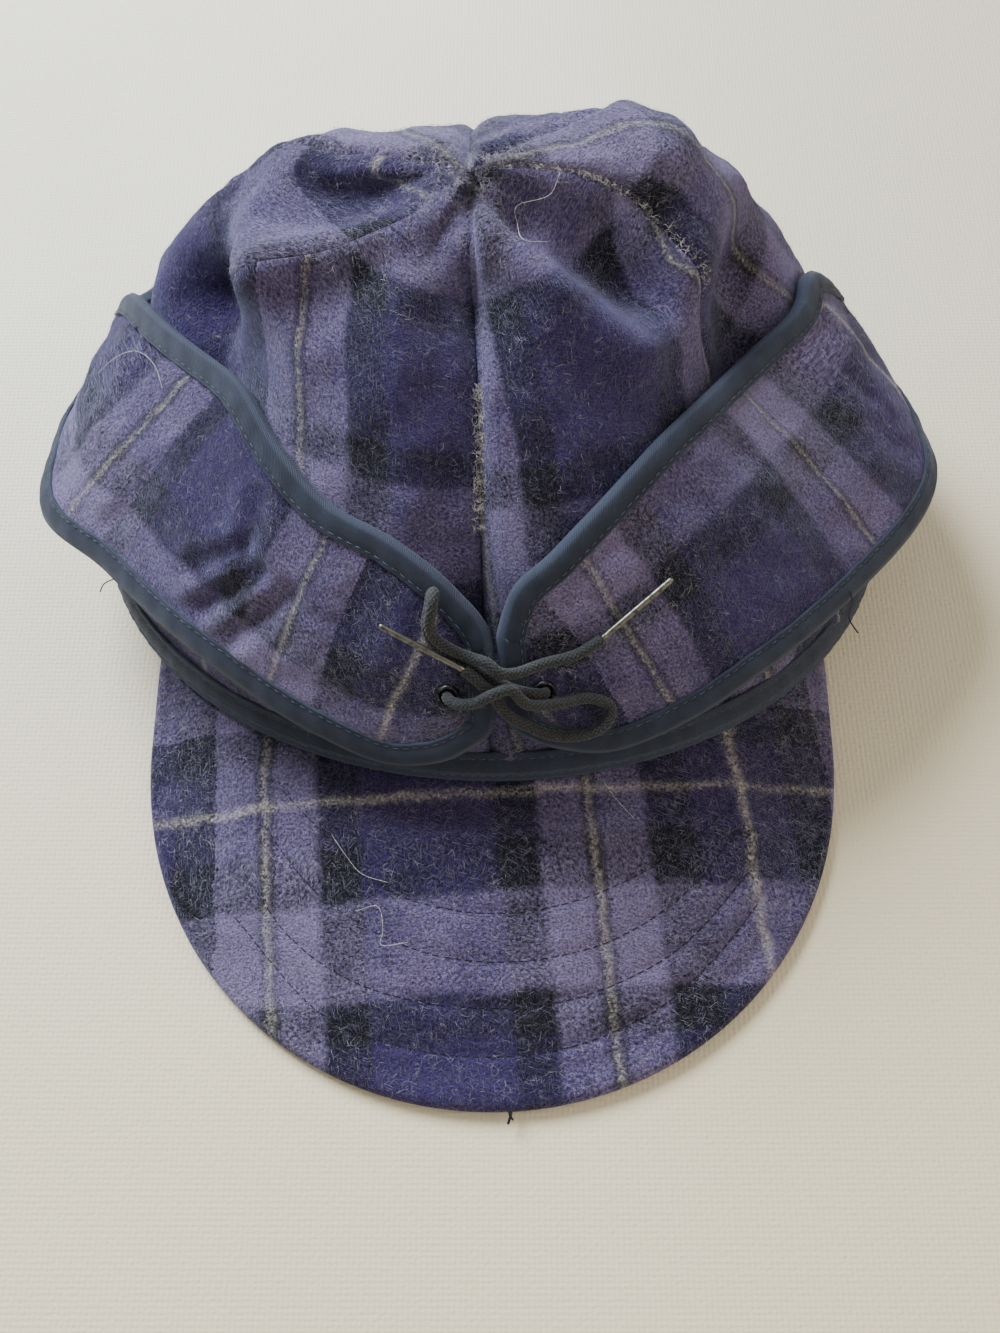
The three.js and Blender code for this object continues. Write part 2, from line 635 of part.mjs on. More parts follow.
for (let i = 0; i < SEAMS.length - 1; i++) {
  add("crown_gore_" + SEAMS[i].name, gore(SEAMS[i], SEAMS[i + 1]), WOOL_COLOUR, 0.95);
}
add("rim_tape", rimTape(), TAPE_COLOUR, 0.8);
add("visor", visor(), WOOL_COLOUR, 0.95);
add("earband_left", band(BAND_LEFT, EYELETS[0]), WOOL_COLOUR, 0.95);
add("earband_right", band(BAND_RIGHT, EYELETS[1]), WOOL_COLOUR, 0.95);
add("earband_binding_left", binding(BAND_LEFT), TAPE_COLOUR, 0.8);
add("earband_binding_right", binding(BAND_RIGHT), TAPE_COLOUR, 0.8);
add("eyelet_left", eyelet(BAND_LEFT, EYELETS[0]), DARK_STEEL_COLOUR, 0.4, 1);
add("eyelet_right", eyelet(BAND_RIGHT, EYELETS[1]), DARK_STEEL_COLOUR, 0.4, 1);
add("lace", lace(), LACE_COLOUR, 0.85);
for (const spec of AGLETS) add(spec.name, aglet(spec), STEEL_COLOUR, 0.35, 1);

export default part;
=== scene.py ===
import math

import bpy
import numpy as np
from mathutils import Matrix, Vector


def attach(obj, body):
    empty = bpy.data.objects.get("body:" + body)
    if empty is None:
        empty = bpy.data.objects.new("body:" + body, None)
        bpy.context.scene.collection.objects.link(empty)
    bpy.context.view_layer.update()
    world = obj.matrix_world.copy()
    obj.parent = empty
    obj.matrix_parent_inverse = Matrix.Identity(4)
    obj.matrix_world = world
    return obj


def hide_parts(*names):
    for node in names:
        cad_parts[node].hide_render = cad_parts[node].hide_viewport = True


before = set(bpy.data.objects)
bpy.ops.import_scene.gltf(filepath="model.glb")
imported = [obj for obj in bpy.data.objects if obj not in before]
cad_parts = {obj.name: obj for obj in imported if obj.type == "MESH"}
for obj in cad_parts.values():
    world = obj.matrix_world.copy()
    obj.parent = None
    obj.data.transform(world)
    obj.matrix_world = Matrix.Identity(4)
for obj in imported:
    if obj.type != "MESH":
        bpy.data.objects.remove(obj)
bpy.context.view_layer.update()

# The cap is worked out in millimetres round the head, and laid down in the part's frame.
# A turn goes round the head from the front, a rise goes from the rim to the top, in degrees.
FRAME_X = 0.1
FRAME_Y = 37.7
MM = 0.001

RIM_HALF_WIDTH = 105.5
RIM_FRONT_REACH = 93.5
RIM_BACK_REACH = 66
RIM_CENTRE_Y = 8
RIM_LIFT = 18.5
RIM_LIFT_END = 105
TOP_X = -5
TOP_Y = 22
TOP_Z = 104
TOP_HOLE = 0.3
TOP_LEVEL_LOW = 50
TOP_LEVEL_HIGH = 74
WOOL = 2
BAND_WOOL = 2.4
TAPE_WIDTH = 5.2
GAP = 0.3
RIM_TAPE_HEIGHT = 8
VISOR_THICK = 4
VISOR_HALF_WIDTH = 85.2
VISOR_TIP_Y = -158
VISOR_SIDE_Y = -72
VISOR_CORNER_Y = -46
VISOR_SQUARENESS = 2.02
VISOR_TUCK = 6
LACE = 2.4
EYELET_WIRE = 0.5

# The crown's seams from the back round by the left, each on the left of the gore that it names:
# its turn at the rim and at the top, how it bulges, how deep it is sewn and how its edge stands up.
SEAM_COLUMNS = ("low", "high", "bulge", "sunk", "ridge")
SEAMS = {
    "back_left": (-180, -180, 0, 1.3, 0),
    "side_left": (-122, -126, 0, 1.0, 1.2),
    "front_left": (-62, -55, -18, 0.25, 2.2),
    "front_right": (0, 0, 1, 1.8, 0),
    "side_right": (60, 96, 0, 0.9, 0.8),
    "back_right": (122, 140, 0, 1.0, 0),
    "end": (180, 180, 0, 1.3, 0),
}
BULGE_RISE = 55
BULGE_WIDTH = 11

# Dents and ridges of the crown, each along a line from one turn and rise to another.
FOLD_COLUMNS = ("turn", "rise", "to_turn", "to_rise", "width", "lift")
FOLDS = {
    "front seam groove": (0, 26, -2, 66, 9, -6),
    "front groove top": (-2, 66, 0, 80, 10, -3),
    "left lobe": (-50, 50, -76, 55, 13, 5),
    "left lobe top": (-76, 55, -110, 63, 12, 4),
    "left hollow": (-68, 43, -85, 48, 10, -8),
    "left hollow top": (-90, 50, -108, 58, 11, -6),
    "left dish": (-96, 70, -66, 76, 12, -8),
    "left shoulder": (-74, 59, -54, 78, 7, 4.5),
    "right crest": (14, 74, 47, 54, 7, 5),
    "right valley": (48, 74, 62, 60, 8, -6),
    "right ridge": (58, 52, 76, 56, 10, 5),
    "right ridge top": (80, 58, 106, 65, 10, 3),
    "right hollow": (72, 44, 90, 50, 10, -8),
    "right hollow top": (94, 52, 112, 58, 7, -3),
    "back right swell": (138, 64.5, 149.5, 45.5, 14, 1.1),
    "back right shoulder": (121, 67.5, 112, 59.5, 11.3, 7.8),
    "back left swell": (-135, 73, -126.5, 55, 10.3, 0.6),
    "left band hollow": (-97, 32, -130, 20, 10, -4.5),
    "right band hollow": (97, 34, 130, 20, 10, -4.5),
    "left brow": (-92.5, 56, -142.5, 45.5, 9.5, 2.1),
    "right brow": (93, 55.5, 138.5, 39.5, 9.5, 4.4),
    "back seam groove": (180, 40, 180, 78, 8, -3),
    "back left dent": (-160, 50, -162, 66, 13, -3),
}
SWELL_FADE_LOW = 48
SWELL_FADE_LOW_BEHIND = 29
SWELL_FADE = 8

# The earband's sections from its laced end to the back: turn, rise and how far off the crown.
BAND_LEFT = [
    {"low": (0.9, 22, 5.8), "high": (0.9, 29.6, 5.8)},
    {"low": (0.2, 18.4, 5.8), "high": (0, 31.8, 5.4)},
    {"low": (-2.2, 15.8, 5.8), "high": (-2.4, 34.1, 5)},
    {"low": (-6.5, 12.8, 6), "high": (-7.6, 37.3, 4.4)},
    {"low": (-13, 11.6, 6.2), "high": (-16, 40, 3.2)},
    {"low": (-23, 15.6, 8), "high": (-28, 41.7, 2.7)},
    {"low": (-38, 20.2, 10), "high": (-42, 44.9, 2.7)},
    {"low": (-57, 21.7, 13), "high": (-57, 47.2, 2.7)},
    {"low": (-71, 19.9, 19.5), "high": (-72, 45.8, 2.7)},
    {"low": (-85, 18, 12.5), "high": (-86, 42.2, 3)},
    {"low": (-100, 14, 5.4), "high": (-99, 36.4, 1.7)},
    {"low": (-109, 11.3, 3.6), "high": (-107.5, 28.5, 0.6)},
    {"low": (-119, 9, 3), "high": (-117, 23.5, 0.8)},
    {"low": (-137, 8.2, 4.2), "high": (-136, 21.8, 2.6)},
    {"low": (-158, 8, 5), "high": (-158, 22, 3.6)},
    {"low": (-179.9, 8, 5), "high": (-179.9, 22, 3.6)},
]
BAND_RIGHT = [
    {"low": (2.5, 22, 5.8), "high": (2.5, 30.5, 5.8)},
    {"low": (3.4, 19, 5.8), "high": (3.8, 33.4, 5.4)},
    {"low": (5.4, 17, 5.8), "high": (6, 36, 5)},
    {"low": (9.5, 14.8, 6), "high": (11, 38.2, 4.4)},
    {"low": (15.5, 13.2, 6.2), "high": (19, 41.4, 3.2)},
    {"low": (25.5, 15.8, 8), "high": (30, 44.6, 2.7)},
    {"low": (37, 18.9, 10), "high": (42, 46.6, 2.7)},
    {"low": (54, 20.4, 13), "high": (57, 47, 2.7)},
    {"low": (76, 18.9, 18), "high": (75, 45.6, 2.7)},
    {"low": (88, 17.4, 12), "high": (89, 42.4, 3)},
    {"low": (102, 14, 5.4), "high": (100, 40.4, 1.7)},
    {"low": (111, 11.3, 3.6), "high": (108, 31, 0.6)},
    {"low": (121, 9, 3), "high": (118, 24.5, 0.8)},
    {"low": (137, 8.2, 4.2), "high": (136, 22, 2.6)},
    {"low": (158, 8, 5), "high": (158, 22, 3.6)},
    {"low": (179.9, 8, 5), "high": (179.9, 22, 3.6)},
]
EYELETS = {
    "eyelet_left": {"along": 2.6, "across": 0.428},
    "eyelet_right": {"along": 2.5, "across": 0.367},
}

# The lace's stops on the plane that touches the meeting ends: across, up the slope and out.
KNOT = np.array([0.3, -75.3, 46.4])
KNOT_SLOPE = 48
LACE_STOPS = [
    (-6.1, 7, 5), (-3.1, 4.4, 5), (0.2, 0.5, 5), (3.4, -4.1, 3.9),
    (7.6, -7.2, 2.8), (13.9, -10.1, 1.8), (21.2, -10.1, 0.6), (25.4, -7.8, -0.4),
    (26, -4.2, -1), (21.4, -1.8, -0.2), (13.7, -1.9, 2.8), (7.5, -0.8, 5.5),
    (3.6, 3.4, 7.4), (-0.1, 2.4, 7.9), (-4.2, -0.6, 5.6), (-7.8, -1.6, 3.4),
    (-9.8, -1.3, 1.4), (-9.9, -1.2, -0.8), (-9.6, -1.1, -2.8), (-7.4, -0.9, -5),
    (-3, -0.5, -5.2), (4.6, -0.2, -5.2), (8.8, -0.1, -5.2), (11, -0.2, -3.2),
    (11.4, -0.3, -1), (11.2, -0.3, 1), (9, 0.3, 2.3), (4.1, 1.6, 2.6),
    (-0.6, 4.3, 2.5), (-5.2, 6.7, 2.2), (-10, 9, 1.2), (-13.1, 11.9, 0.5),
    (-14.1, 15.7, 0.6), (-13.4, 20, 0.9), (-12.9, 22.8, 1.8), (-12.4, 23.9, 3.6),
    (-12.5, 22.9, 5.4), (-12.9, 20.4, 6), (-13.3, 17.4, 5.2), (-12.2, 13.8, 3.9),
    (-9.2, 11.3, 3.6), (-4.9, 9.6, 4.2), (-1.1, 8.8, 5.8), (1.4, 6.9, 6.3),
    (4.6, 6, 4.6), (11.1, 7.1, 1.6), (18.4, 8.4, -0.6), (23.6, 11.1, -2.3),
]
AGLETS = {
    "aglet_left": {"start": (-6.1, 7, 5), "towards": (-23.8, 15.5, 1.4)},
    "aglet_right": {"start": (23.6, 11.1, -2.3), "towards": (38.9, 23.3, -7)},
}

# The plaid's stripes in the order they were woven: thread and width in millimetres.
SETT = [
    ("lilac", 10.4),
    ("shadow", 1.1),
    ("dull tan", 1.6),
    ("shadow", 1.1),
    ("lilac", 10.4),
    ("charcoal", 9.8),
    ("purple", 30.8),
    ("charcoal", 9.8),
    ("lilac", 10.4),
    ("shadow", 1.1),
    ("dull tan", 1.6),
    ("shadow", 1.1),
    ("lilac", 10.4),
    ("charcoal", 10.3),
    ("plum", 9.8),
    ("tan", 1.6),
    ("plum", 9.7),
    ("charcoal", 10.2),
]
THIN_STRIPE = 2
SETT_REPEAT = sum(width for _, width in SETT)
THREADS = {
    "lilac": (142, 129, 172),
    "shadow": (60, 55, 66),
    "dull tan": (196, 190, 184),
    "charcoal": (29, 29, 35),
    "purple": (66, 54, 104),
    "plum": (62, 50, 94),
    "tan": (222, 215, 202),
}

# How each piece was cut: where the sett is at its zero, a stretch, how the thread leans per mm and,
# for the earband, from where along it the cloth is eased in. What a row leaves out is as in PLAIN_CUT.
PLAIN_CUT = {"warp_scale": 1.0, "lean": 0.0, "weft_scale": 1.0, "bow": 0.0}
CUTS = {
    "front_left": {"warp": 54.6, "weft": -56.7, "weft_scale": 1.15},
    "front_right": {"warp": 2.9, "warp_scale": 1.15, "lean": 0.15, "weft": -43.0},
    "side_left": {"warp": 50.0, "weft": 122.4, "weft_scale": -1.0, "bow": 0.1},
    "side_right": {"warp": 87.4, "weft": -60.0},
    "back_left": {"warp": 12.0, "weft": -97.6},
    "back_right": {"warp": 60.0, "weft": -27.6},
    "earband_left": {"warp": 98.2, "warp_scale": 1.15, "lean": 0.5, "weft": 34.4, "eased": 118},
    "earband_right": {
        "warp": -22.4, "warp_scale": 1.16, "lean": 0.58, "weft": 33.4, "weft_scale": -1.0,
        "eased": 106,
    },
}


def smooth(low, high, value):
    t = np.clip((value - low) / (high - low), 0, 1)
    return t * t * (3 - 2 * t)


def mix(a, b, t):
    return a + (b - a) * t


def unit(vectors):
    return vectors / np.maximum(np.linalg.norm(vectors, axis=-1, keepdims=True), 1e-9)


def bump_at(value, middle, width):
    return np.exp(-(((value - middle) / width) ** 2))


def lumps(points, size, seed):
    """A smooth random field, about -1 to 1, with lumps of the given size."""
    rng = np.random.default_rng(seed)
    total = np.zeros(points.shape[:-1])
    for _ in range(14):
        way = unit(rng.normal(size=3)) * 2 * math.pi / (size * rng.uniform(0.7, 1.6))
        total += np.sin(points @ way + rng.uniform(0, 2 * math.pi))
    return total / 4


def waves(points, kind, seed, fine_seed):
    """Large and small waves of a cloth's surface: kind is the height and size of each."""
    high, size, fine_high, fine_size = kind
    return high * lumps(points, size, seed) + fine_high * lumps(points, fine_size, fine_seed)


def rim_height(turn):
    away = np.minimum(1, np.abs(turn) / RIM_LIFT_END)
    return RIM_LIFT * np.cos(away * math.pi / 2) ** 2


def rim_plan(turn):
    across = np.sin(np.radians(turn))
    along = np.cos(np.radians(turn))
    reach = np.where(along > 0, RIM_FRONT_REACH, RIM_BACK_REACH)
    return RIM_HALF_WIDTH * across, RIM_CENTRE_Y - reach * along


def lean(turn):
    return mix(1.45, 1, smooth(60, 115, np.abs(turn)))


def crown_base(turn, rise):
    turn, rise = np.broadcast_arrays(np.asarray(turn, float), np.asarray(rise, float))
    inward = np.cos(np.radians(rise)) ** lean(turn)
    up = np.sin(np.radians(np.maximum(rise, 0))) ** lean(turn)
    rim_x, rim_y = rim_plan(turn)
    foot = rim_height(turn)
    x = TOP_X * up + rim_x * inward
    y = RIM_CENTRE_Y + (TOP_Y - RIM_CENTRE_Y) * up + (rim_y - RIM_CENTRE_Y) * inward
    return np.stack([x, y, foot + (TOP_Z - foot) * up], -1)


def normal_of(surface, turn, rise):
    step = 0.25
    low = np.maximum(rise - step, 0.01)
    high = np.minimum(rise + step, 89.9)
    along = surface(turn + step, rise) - surface(turn - step, rise)
    upward = surface(turn, high) - surface(turn, low)
    return unit(np.cross(along, upward))


def away_from(places, start, end):
    """How far places are from the straight line between two points."""
    run = end - start
    share = np.clip(((places - start) @ run) / (run @ run), 0, 1)
    return np.linalg.norm(places - start - share[..., None] * run, axis=-1)


def fold_lift(place, turn, rise):
    fade_low = mix(SWELL_FADE_LOW, SWELL_FADE_LOW_BEHIND, smooth(89, 105, np.abs(turn)))
    clear = smooth(0, SWELL_FADE, rise - fade_low)
    lift = np.zeros(place.shape[:-1])
    for row in FOLDS.values():
        fold = dict(zip(FOLD_COLUMNS, row))
        start = crown_base(fold["turn"], fold["rise"])
        away = away_from(place, start, crown_base(fold["to_turn"], fold["to_rise"]))
        lift += fold["lift"] * bump_at(away, 0, fold["width"]) * (clear if fold["lift"] > 0 else 1)
    return lift


def crown(turn, rise):
    place = crown_base(turn, rise)
    lift = fold_lift(place, turn, rise)
    return place + normal_of(crown_base, turn, rise) * lift[..., None]


def off_crown(turn, rise, off):
    off = np.asarray(off, float)
    return crown_base(turn, rise) + normal_of(crown_base, turn, rise) * off[..., None]


def seam_turn(seam, rise):
    bulge = seam["bulge"] * bump_at(rise, BULGE_RISE, BULGE_WIDTH)
    return mix(seam["low"], seam["high"], smooth(35, 80, rise)) + bulge


def top_rise(turn):
    return np.degrees(np.arccos((TOP_HOLE / RIM_HALF_WIDTH) ** (1 / lean(turn))))


def rise_at(turn, height):
    share = height / (TOP_Z - rim_height(turn))
    return np.degrees(np.arcsin(share ** (1 / lean(turn))))


def between(rows, edge, column, along):
    """A smooth value between the rows of a table, by a Catmull-Rom spline."""
    values = np.array([row[edge][column] for row in rows], float)
    last = len(rows) - 1
    i = np.clip(np.floor(along).astype(int), 0, last - 1)
    t = along - i
    a, b, c, d = (values[np.clip(i + k, 0, last)] for k in (-1, 0, 1, 2))
    bend = 2 * a - 5 * b + 4 * c - d
    swing = 3 * b - a - 3 * c + d
    return 0.5 * (2 * b + (c - a) * t + bend * t * t + swing * t**3)


def band_place(rows, along, across):
    along, across = np.broadcast_arrays(np.asarray(along, float), np.asarray(across, float))
    turn, rise, off = (
        mix(between(rows, "low", k, along), between(rows, "high", k, along), across) for k in (0, 1, 2)
    )
    return off_crown(turn, rise, off)


def band_normal(rows, along, across):
    step = 0.02
    last = len(rows) - 1
    ahead = band_place(rows, np.minimum(along + step, last), across)
    behind = band_place(rows, np.maximum(along - step, 0), across)
    high = band_place(rows, along, np.minimum(across + step, 1))
    low = band_place(rows, along, np.maximum(across - step, 0))
    normal = unit(np.cross(ahead - behind, high - low))
    return -normal if rows[last]["low"][0] < 0 else normal


def nearest_on(rows, along, across, goal):
    """The places on the band nearest to points beside it, by Newton steps."""
    step = 0.02
    last = len(rows) - 1
    for _ in range(12):
        ahead = np.where(along + step > last, -step, step)
        inward = np.where(across > 0.5, -step, step)
        here = band_place(rows, along, across)
        by_along = (band_place(rows, along + ahead, across) - here) / ahead[..., None]
        by_across = (band_place(rows, along, across + inward) - here) / inward[..., None]
        rest = goal - here
        aa = (by_along * by_along).sum(-1)
        ac = (by_along * by_across).sum(-1)
        cc = (by_across * by_across).sum(-1)
        a = (by_along * rest).sum(-1)
        c = (by_across * rest).sum(-1)
        scale = np.maximum(aa * cc - ac * ac, 1e-6)
        along = np.clip(along + np.clip((a * cc - c * ac) / scale, -0.5, 0.5), 0, last)
        across = np.clip(across + np.clip((c * aa - a * ac) / scale, -0.2, 0.2), 0, 1)
    return along, across


def visor_outline(share):
    sweep = np.abs(share * 108)
    angle = np.radians(np.minimum(90, sweep))
    power = 2 / VISOR_SQUARENESS
    beyond = np.maximum(0, (sweep - 90) / 18)
    reach = VISOR_SIDE_Y - VISOR_TIP_Y
    x = np.sign(share) * VISOR_HALF_WIDTH * np.sin(angle) ** power
    y = VISOR_SIDE_Y - reach * np.cos(angle) ** power + beyond * (VISOR_CORNER_Y - VISOR_SIDE_Y)
    return x, y


def visor_place(share, out):
    turn = share * 54
    rim_x, rim_y = rim_plan(turn)
    inset = 1 - VISOR_TUCK / np.hypot(rim_x, rim_y - RIM_CENTRE_Y)
    edge_x, edge_y = visor_outline(share)
    edge_z = mix(VISOR_THICK, VISOR_THICK + 3.5, smooth(0.72, 1, np.abs(share)))
    fall = np.minimum(1, out / 0.9)
    bow = 2.5 * np.sin(math.pi * fall) * (1 - share * share)
    x = mix(rim_x * inset, edge_x, out)
    y = mix(RIM_CENTRE_Y + (rim_y - RIM_CENTRE_Y) * inset, edge_y, out)
    z = mix(rim_height(turn) - GAP, edge_z, fall) + bow * smooth(0.12, 0.3, out)
    return np.stack(np.broadcast_arrays(x, y, z), -1)


slope = math.radians(KNOT_SLOPE)
KNOT_UP = np.array([0, math.cos(slope), math.sin(slope)])
KNOT_OUT = np.array([0, -math.sin(slope), math.cos(slope)])


def knot_place(stops):
    stops = np.asarray(stops, float)
    across = stops[..., :1] * np.array([1.0, 0, 0])
    return KNOT + across + stops[..., 1:2] * KNOT_UP + stops[..., 2:3] * KNOT_OUT


def in_frame(points):
    """Millimetres round the head to metres in the part's frame."""
    return (np.asarray(points, float) + [FRAME_X, FRAME_Y, 0]) * MM


class Shade:
    """A value or colour in one material's nodes, with Python's own arithmetic."""

    def __init__(self, tree, socket=None):
        self.tree = tree
        self.socket = socket

    def node(self, kind, settings, sockets, output=0):
        made = self.tree.nodes.new(kind)
        for name, value in settings.items():
            if name == "stops":
                lay_stops(made.color_ramp, value)
            else:
                setattr(made, name, value)
        for name, value in sockets.items():
            if isinstance(value, Shade):
                self.tree.links.new(value.socket, made.inputs[name])
            else:
                made.inputs[name].default_value = value
        return Shade(self.tree, made.outputs[output])

    def part(self, axis):
        """One of the three numbers of a place."""
        return self.node("ShaderNodeSeparateXYZ", {}, {0: self}, axis)

    def fract(self):
        return self.math("FRACT", self)

    def math(self, operation, *values):
        return self.node("ShaderNodeMath", {"operation": operation}, dict(enumerate(values)))

    def __add__(self, other):
        return self.math("ADD", self, other)

    def __radd__(self, other):
        return self.math("ADD", other, self)

    def __sub__(self, other):
        return self.math("SUBTRACT", self, other)

    def __rsub__(self, other):
        return self.math("SUBTRACT", other, self)

    def __mul__(self, other):
        return self.math("MULTIPLY", self, other)

    def __rmul__(self, other):
        return self.math("MULTIPLY", other, self)

    def __truediv__(self, other):
        return self.math("DIVIDE", self, other)

    def __rtruediv__(self, other):
        return self.math("DIVIDE", other, self)

    def __abs__(self):
        return self.math("ABSOLUTE", self)

    def held(self):
        """The value kept from 0 to 1."""
        return self.math("MINIMUM", self.math("MAXIMUM", self, 0.0), 1.0)

    def step(self, low, high):
        """0 below low, 1 above high and smooth between."""
        settings = {"interpolation_type": "SMOOTHSTEP"}
        return self.node("ShaderNodeMapRange", settings, {"Value": self, "From Min": low, "From Max": high})

    def blend(self, a, b):
        """Colour a where this is 0 and b where it is 1."""
        settings = {"data_type": "RGBA", "blend_type": "MIX"}
        return self.node("ShaderNodeMix", settings, {0: self, 6: a, 7: b}, 2)

    def noise(self, scale, detail=2.0, rough=0.5, distortion=0.0):
        """Noise over this place."""
        sockets = {"Vector": self, "Scale": scale, "Detail": detail}
        sockets.update({"Roughness": rough, "Distortion": distortion})
        return self.node("ShaderNodeTexNoise", {}, sockets)


def lay_stops(ramp, stops):
    while len(ramp.elements) > 1:
        ramp.elements.remove(ramp.elements[-1])
    for i, (place, value) in enumerate(stops):
        stop = ramp.elements[0] if i == 0 else ramp.elements.new(place)
        stop.position = place
        stop.color = value


def colour(red, green, blue):
    """A colour as seen on a screen, 0 to 255, in the linear values that a shader takes."""
    seen = np.array([red, green, blue]) / 255
    linear = np.where(seen <= 0.04045, seen / 12.92, ((seen + 0.055) / 1.055) ** 2.4)
    return (*(float(value) for value in linear), 1.0)


def material(name, build, **constants):
    """A material whose changing inputs come from build and whose even ones are set here."""
    made = bpy.data.materials.new(name)
    made.use_nodes = True
    tree = made.node_tree
    surface = tree.nodes["Principled BSDF"]
    for socket, value in constants.items():
        surface.inputs[socket.replace("_", " ")].default_value = value
    for socket, value in build(Shade(tree)).items():
        tree.links.new(value.socket, surface.inputs[socket])
    return made


def bumped(shade, height, depth):
    """A normal bumped by a height, whose full range is depth metres."""
    return shade.node("ShaderNodeBump", {}, {"Height": height, "Distance": depth, "Strength": 1.0})


STRIPE_EDGE = 0.8


def sett_stops(plain):
    """The sett as a ramp, each thread running into the next. Threads in plain are woven lilac."""
    stops = []
    reached = 0
    for thread, width in SETT:
        tone = colour(*THREADS["lilac" if thread in plain else thread])
        if width < THIN_STRIPE:
            stops.append(((reached + width / 2) / SETT_REPEAT, tone))
        else:
            stops.append(((reached + STRIPE_EDGE) / SETT_REPEAT, tone))
            stops.append(((reached + width - STRIPE_EDGE) / SETT_REPEAT, tone))
        reached += width
    return stops


FIBRE_SCALE = (0.42, 3.4, 1.0)


def fibres(cloth, turned, shift):
    """Pale hairs that lie along one way of the cloth: 0 between them and 1 on them."""
    sockets = {"Vector": cloth, "Location": (shift, shift, 0.0), "Rotation": (0.0, 0.0, turned)}
    laid = cloth.node("ShaderNodeMapping", {}, sockets)
    combed = laid.node("ShaderNodeMapping", {}, {"Vector": laid, "Scale": FIBRE_SCALE})
    return combed.noise(1.0, 1.5, 0.55, 0.7).step(0.56, 0.74)


# How far a stripe's edge wanders, slowly and from thread to thread, in millimetres of cloth.
STRIPE_SWAY = 3.0
STRIPE_FRAY = 3.4


def plaid_wool(shade):
    """Felted plaid. The cloth map is in millimetres: across the stripes of the warp and of the weft."""
    cloth = shade.node("ShaderNodeUVMap", {"uv_map": "cloth"}, {})
    other = shade.node("ShaderNodeMapping", {}, {"Vector": cloth, "Location": (431.0, 173.0, 0.0)})
    sway = cloth.noise(0.09, 2) - 0.5
    fray = cloth.noise(0.85, 3, 0.7) - 0.5
    sway_two = other.noise(0.09, 2) - 0.5
    fray_two = other.noise(0.85, 3, 0.7) - 0.5
    warp_at = (cloth.part(0) + sway * STRIPE_SWAY + fray * STRIPE_FRAY) / SETT_REPEAT
    weft_at = (cloth.part(1) + sway_two * STRIPE_SWAY + fray_two * STRIPE_FRAY) / SETT_REPEAT
    warp = shade.node("ShaderNodeValToRGB", {"stops": sett_stops([])}, {"Fac": warp_at.fract()})
    weft_stops = sett_stops(["shadow", "dull tan"])
    weft = shade.node("ShaderNodeValToRGB", {"stops": weft_stops}, {"Fac": weft_at.fract()})
    speck = cloth.noise(1.2, 3, 0.7)
    patch = other.noise(0.07, 3, 0.6)
    share = ((speck - 0.5) * 3.2 + (patch - 0.5) * 1.3 + 0.46).held()
    woven = share.blend(warp, weft)
    blotch = other.noise(0.42, 3, 0.65)
    woven = (blotch.step(0.52, 0.78) * 0.5).blend(woven, colour(40, 39, 48))
    dirt = cloth.noise(1.7, 3, 0.7)
    woven = ((1 - dirt.step(0.34, 0.6)) * 0.72).blend(woven, colour(20, 19, 26))
    nap = fibres(cloth, 0.4, 3.0)
    nap_two = fibres(cloth, 1.5, 57.0)
    nap_three = fibres(cloth, 2.5, 91.0)
    hairy = nap.math("MAXIMUM", nap, nap_two.math("MAXIMUM", nap_two, nap_three))
    thick = other.noise(0.2, 3, 0.6).step(0.3, 0.7)
    napped = (hairy * (thick * 0.26 + 0.09)).blend(woven, colour(160, 154, 182))
    height = dirt * 0.6 + speck * 0.4 + hairy * 0.3 + blotch * 0.5 + patch * 0.5
    return {"Base Color": napped, "Normal": bumped(shade, height, 0.0012)}


TWILL_SLANT = 0.8
RIBS_PER_MM = 2.2


def twill_tape(shade):
    """Slanting ribs. The cloth map is in millimetres: along the tape and across it."""
    tape = shade.node("ShaderNodeUVMap", {"uv_map": "cloth"}, {})
    across = tape.part(1)
    slant = (tape.part(0) * TWILL_SLANT + across) * RIBS_PER_MM
    ribs = abs(slant.fract() - 0.5) * 2
    cloudy = tape.noise(0.12, 4, 0.65)
    fine = tape.noise(3.0, 3, 0.6)
    edge = (1 - abs(across / TAPE_WIDTH * 2 - 1)).step(0.22, 0.0)
    base = cloudy.step(0.3, 0.7).blend(colour(30, 36, 53), colour(42, 50, 69))
    base = (ribs * 0.2).blend(base, colour(60, 67, 82))
    # lighter near the folded edges: partly wear, partly painted highlight where the folds catch the light
    base = (edge * 0.35).blend(base, colour(68, 77, 98))
    base = (fine.step(0.45, 0.8) * 0.35).blend(base, colour(24, 26, 34))
    height = ribs * 0.4 + fine * 0.6
    return {"Base Color": base, "Normal": bumped(shade, height, 0.00025)}


def braid_cord(shade):
    """Painted shade between the strands, where the braid dips in. The cloth map's second number says how
    high the braid swells.
    """
    swell = shade.node("ShaderNodeUVMap", {"uv_map": "cloth"}, {}).part(1)
    spot = shade.node("ShaderNodeNewGeometry", {}, {})
    strand = spot.noise(2600.0, 3, 0.7)
    base = strand.step(0.35, 0.7).blend(colour(36, 39, 43), colour(70, 74, 80))
    # painted shade: near black where the braid dips between its strands
    base = ((1 - swell).step(0.15, 0.8) * 0.95).blend(base, colour(8, 8, 9))
    return {"Base Color": base, "Normal": bumped(shade, strand, 0.0002)}


def mottled(name, noise, turns, tones, gloss, **constants):
    """A material with one noise for its two tones and for its roughness: what it adds and the least."""

    def build(shade):
        worn = shade.node("ShaderNodeNewGeometry", {}, {}).noise(*noise)
        base = worn.step(*turns).blend(colour(*tones[0]), colour(*tones[1]))
        return {"Base Color": base, "Roughness": worn * gloss[0] + gloss[1]}

    return material(name, build, **constants)


FLOOR_WEAVE = 260.0


